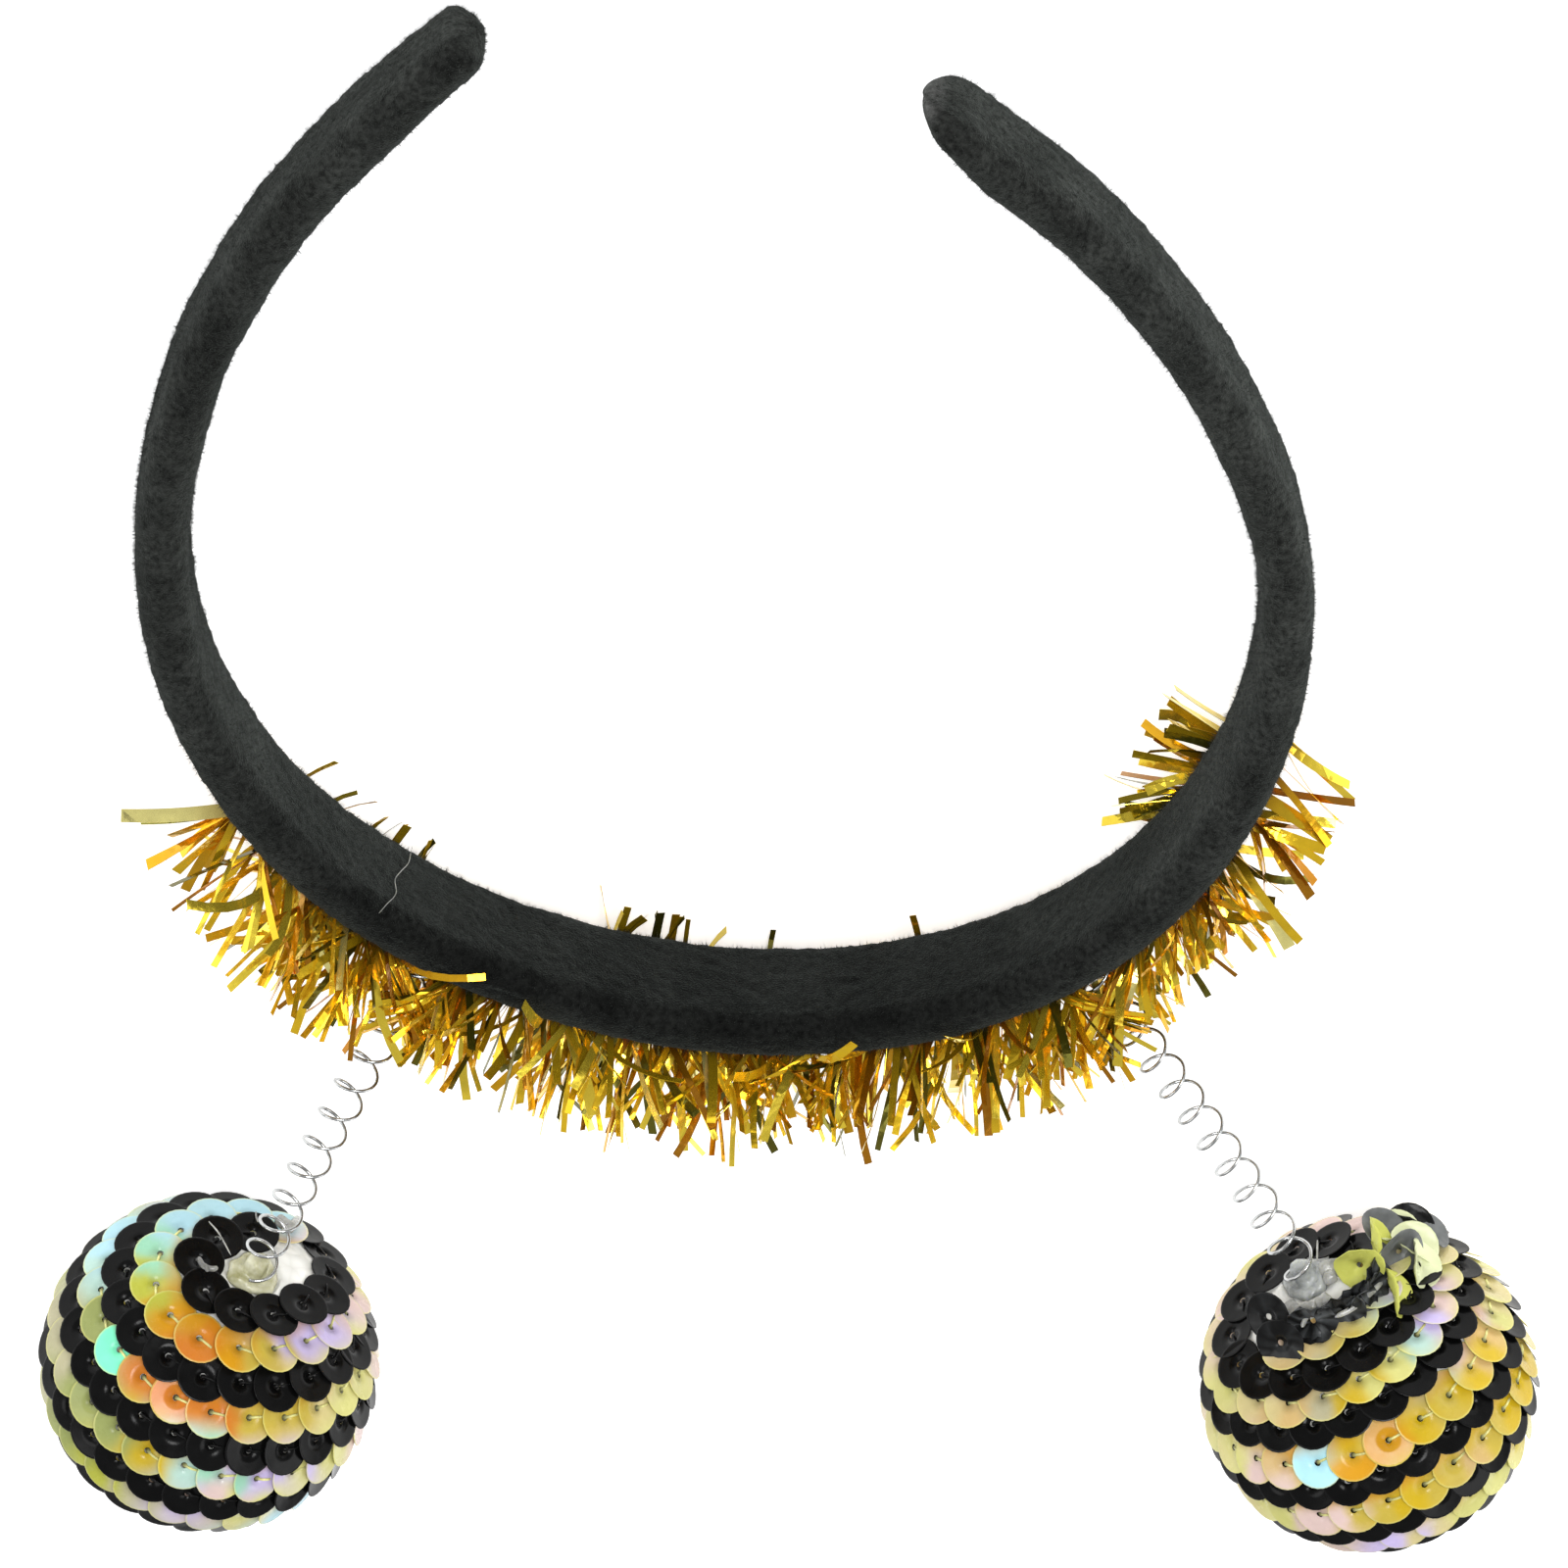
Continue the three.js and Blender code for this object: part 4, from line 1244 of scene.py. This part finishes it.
# Right and up from the ball's middle in its radii, lift in millimetres, tilt of the face away from the camera
# and the picture angle that it tilts to, picture angle of the fold, bend at the rim in radians, crumpling,
# tint.
LOOSE = [
    (-0.087, 0.70, 1.0, 34, 250, 27, 0.75, 0.12, "leaf"),
    (-0.006, 0.82, 1.0, 72, 10, 85, 1.25, 0.12, "leaf"),
    (0.10, 0.57, 0.0, 70, 20, 70, 1.2, 0.12, "leaf"),
    (0.15, 0.89, 0.6, 52, 80, 20, 0.9, 0.12, "pale_lime"),
    (0.235, 0.82, 0.6, 46, 60, 150, 1.0, 0.12, "pale_lime"),
    (0.26, 0.72, 0.5, 56, 20, 60, 1.0, 0.12, "pale_lime"),
    # Black sequins drawn paler where they catch the light: a painted sheen.
    (0.052, 0.88, 0.9, 40, 45, 120, 0.5, 0.05, "sheen_grey"),
    (0.14, 0.78, 0.9, 36, 320, 40, 0.6, 0.05, "sheen_grey"),
    (0.31, 0.89, 0.5, 64, 60, 140, 0.8, 0.05, "sheen_grey"),
    (0.23, 0.92, 0.8, 66, 60, 150, 1.3, 0.1, "black"),
    (-0.14, 0.52, 0.3, 32, 300, 40, 1.0, 0.3, "black"),
    (-0.064, 0.56, 0.4, 46, 330, 35, 1.2, 0.3, "black"),
    (-0.21, 0.46, 0.2, 36, 270, 30, 0.8, 0.3, "black"),
    (-0.37, 0.41, 0.2, 30, 240, 20, 1.2, 0.3, "black"),
    (-0.006, 0.62, 0.4, 44, 10, 50, 0.9, 0.25, "black"),
    (-0.62, 0.42, 0.3, 40, 200, 20, 0.1, 0.04, "black"),
    (-0.55, 0.27, 0.5, 34, 215, 20, 0.2, 0.06, "black"),
]
FROSTED = np.array([0.28, 0.30, 0.31])  # what creases add to a crumpled black sequin


def build_loose(side, ball):
    """Sequins that hang loose, folded or crumpled by the right ball's spring."""
    random = np.random.default_rng(77)
    u, v, cup = np.moveaxis(sequin_shape()[0], -1, 0)
    for colour in ("black", "gold"):
        points, tints = [], []
        for x, y, lift, tilt, toward, fold, bend, crumple, tint in LOOSE:
            if (tint in ("black", "sheen_grey")) != (colour == "black"):
                continue
            tilt, toward, fold = np.radians((tilt, toward, fold))
            normal = TO_CAMERA * math.cos(tilt) + in_picture(toward) * math.sin(tilt)
            crease = in_picture(fold)
            crease = unit(crease - normal * np.dot(crease, normal))
            middle = ball_centre(ball) + facing(x, y) * (BALL_RADIUS - 0.6 + lift)
            wave = random.uniform(0, 6.28, 4)
            waves = np.sin(1.7 * u + wave[0]) * np.sin(2.1 * v + wave[1])
            waves = waves + 0.6 * np.sin(3.4 * u - 2.6 * v + wave[2])
            round_fold = SEQUIN_RADIUS / bend
            inner = round_fold - cup - crumple * waves
            angle = v / round_fold
            height = round_fold - np.cos(angle) * inner
            across = np.cross(normal, crease)
            points.append(middle + weigh((crease, u), (across, np.sin(angle) * inner), (normal, height)))
            base = linear(TINTS[tint]) * (LIT if colour == "gold" else 0.6)
            streak = 0.5 + 0.5 * np.sin(5.0 * v + 1.5 * u + wave[3])
            tints.append(base + weigh((FROSTED, (colour == "black") * crumple * streak ** 3)))
        make_piece(f"sequins_{colour}_loose_{side}", np.concatenate(points).reshape(-1, 3),
                   sequin_faces(len(points)), SEQUIN[colour], f"ball_{side}",
                   colours=np.concatenate(tints).reshape(-1, 3))


# Smears of glue and loose filaments: radius, lift above the sequins, and points right and up from the ball's
# middle in its radii.
SMEARS = {
    "left": [
        (0.34, 0.0, [(-0.03, 0.66), (0.0, 0.61), (0.05, 0.59), (0.09, 0.595)]),
        (0.26, 0.1, [(-0.02, 0.62), (0.02, 0.60), (0.03, 0.57)]),
        (0.75, 0.1, [(0.41, 0.87), (0.46, 0.83), (0.52, 0.80)]),
        (0.5, 0.2, [(0.45, 0.79), (0.50, 0.82), (0.53, 0.86)]),
        (0.10, 0.5, [(0.02, 0.84), (0.07, 0.79), (0.10, 0.75), (0.16, 0.65)]),
        (0.10, 0.5, [(0.285, 0.89), (0.29, 0.86), (0.303, 0.83)]),
    ],
    "right": [
        (0.62, 0.1, [(-0.50, 0.42), (-0.46, 0.46), (-0.40, 0.485), (-0.35, 0.49)]),
        (1.0, -0.3, [(-0.36, 0.50), (-0.31, 0.52), (-0.27, 0.56)]),
        (0.8, -0.4, [(-0.31, 0.66), (-0.27, 0.67), (-0.24, 0.69)]),
        (0.5, 0.3, [(-0.28, 0.48), (-0.20, 0.50), (-0.12, 0.57), (-0.05, 0.62)]),
        (0.35, 0.5, [(-0.24, 0.42), (-0.14, 0.47), (-0.04, 0.55), (0.04, 0.62)]),
        (0.3, 0.4, [(-0.43, 0.36), (-0.40, 0.42), (-0.36, 0.44)]),
        (0.12, 0.4, [(-0.32, 0.85), (-0.325, 0.80), (-0.33, 0.74)]),
        (1.1, -0.5, [(-0.33, 0.70), (-0.26, 0.73), (-0.18, 0.73)]),
        (1.0, -0.4, [(-0.53, 0.52), (-0.49, 0.47), (-0.43, 0.44)]),
        (0.22, 0.0, [(-0.62, 0.55), (-0.60, 0.55)]),
        (0.22, 0.0, [(-0.62, 0.40), (-0.60, 0.39)]),
    ],
}


def tapered_tube(points, radius, stations, sides, flat=1.0):
    """A tube along a curve through points, drawn out thin at both ends, and flattened by a share."""
    curve = Spline(points)
    t = np.linspace(0, 1, stations)
    line = curve.at(t * curve.count)
    forward = unit(np.gradient(line, axis=0))
    side = unit(np.cross(forward, TO_CAMERA))
    width = radius * np.sqrt(np.clip(1 - (2 * t - 1) ** 6, 0.02, 1))[:, None, None]
    return rings_round(line, flat * np.cross(side, forward), side, width, sides)


def build_smears(side, ball):
    smears = []
    for radius, lift, places in SMEARS[side]:
        points = [ball_centre(ball) + facing(x, y) * (BALL_RADIUS - 0.5 + lift) for x, y in places]
        smears.append(tapered_tube(points, radius, 24, 10, 0.45))
    points, faces = tubes(np.stack(smears))
    make_piece(f"glue_smears_{side}", points, faces, FROST, f"ball_{side}")


# The studio

FLOOR_SIZE = 3000.0
FLOOR_LEVEL = -0.05


def build_floor():
    corners = np.array([(-1, -1), (1, -1), (1, 1), (-1, 1)]) * FLOOR_SIZE
    points = np.column_stack([corners, np.full(4, FLOOR_LEVEL)])
    floor = make_piece("floor", points, [np.array([[0, 1, 2, 3]])], floor_material())


LIGHTS = [  # name, place and target in millimetres, width and height, watts
    ("key", (150, 950, 1000), (0, 0, 0), (500, 500), 14.0),
    ("side_left", (-1100, 100, 700), (0, 0, 20), (700, 700), 5.0),
    ("side_right", (1100, -200, 700), (0, 0, 20), (700, 700), 5.0),
]
WORLD = (0.50, 0.505, 0.51)
WORLD_STRENGTH = 1.0


def build_lights():
    for name, place, target, (wide, high), watts in LIGHTS:
        data = bpy.data.lights.new(name, "AREA")
        data.shape = "RECTANGLE"
        data.size, data.size_y = wide * MM, high * MM
        data.energy = watts
        lamp = bpy.data.objects.new(name, data)
        bpy.context.scene.collection.objects.link(lamp)
        lamp.location = Vector(place) * MM
        lamp.rotation_euler = (Vector(target) - Vector(place)).to_track_quat("-Z", "Y").to_euler()
    world = bpy.data.worlds.new("studio")
    bpy.context.scene.world = world
    world.use_nodes = True
    background = world.node_tree.nodes["Background"]
    background.inputs["Color"].default_value = (*WORLD, 1)
    background.inputs["Strength"].default_value = WORLD_STRENGTH
    bpy.context.scene.view_settings.view_transform = "Standard"


def build_camera():
    data = bpy.data.cameras.new("camera")
    data.lens, data.sensor_width = CAMERA_LENS, SENSOR
    data.clip_start, data.clip_end = 0.05, 20
    camera = bpy.data.objects.new("camera", data)
    bpy.context.scene.collection.objects.link(camera)
    camera.location = (CAMERA_AIM + CAMERA_DISTANCE * TO_CAMERA) * MM
    camera.rotation_euler = (-(math.pi / 2 - ELEVATION), 0, 0)
    bpy.context.scene.camera = camera


build_camera()
build_floor()
build_lights()
band_skin, band_normals = build_band()
build_nap(band_skin, band_normals)
build_tinsel([build_spring(side, ball) for side, ball in BALLS.items()])
build_core()
build_stray_thread()
for number, (side, ball) in enumerate(BALLS.items()):
    build_foam(side, ball)
    build_glue(side, ball)
    build_string(side, ball, "black", 51 + number)
    build_string(side, ball, "gold", 61 + number)
    build_smears(side, ball)
build_loose("right", BALLS["right"])
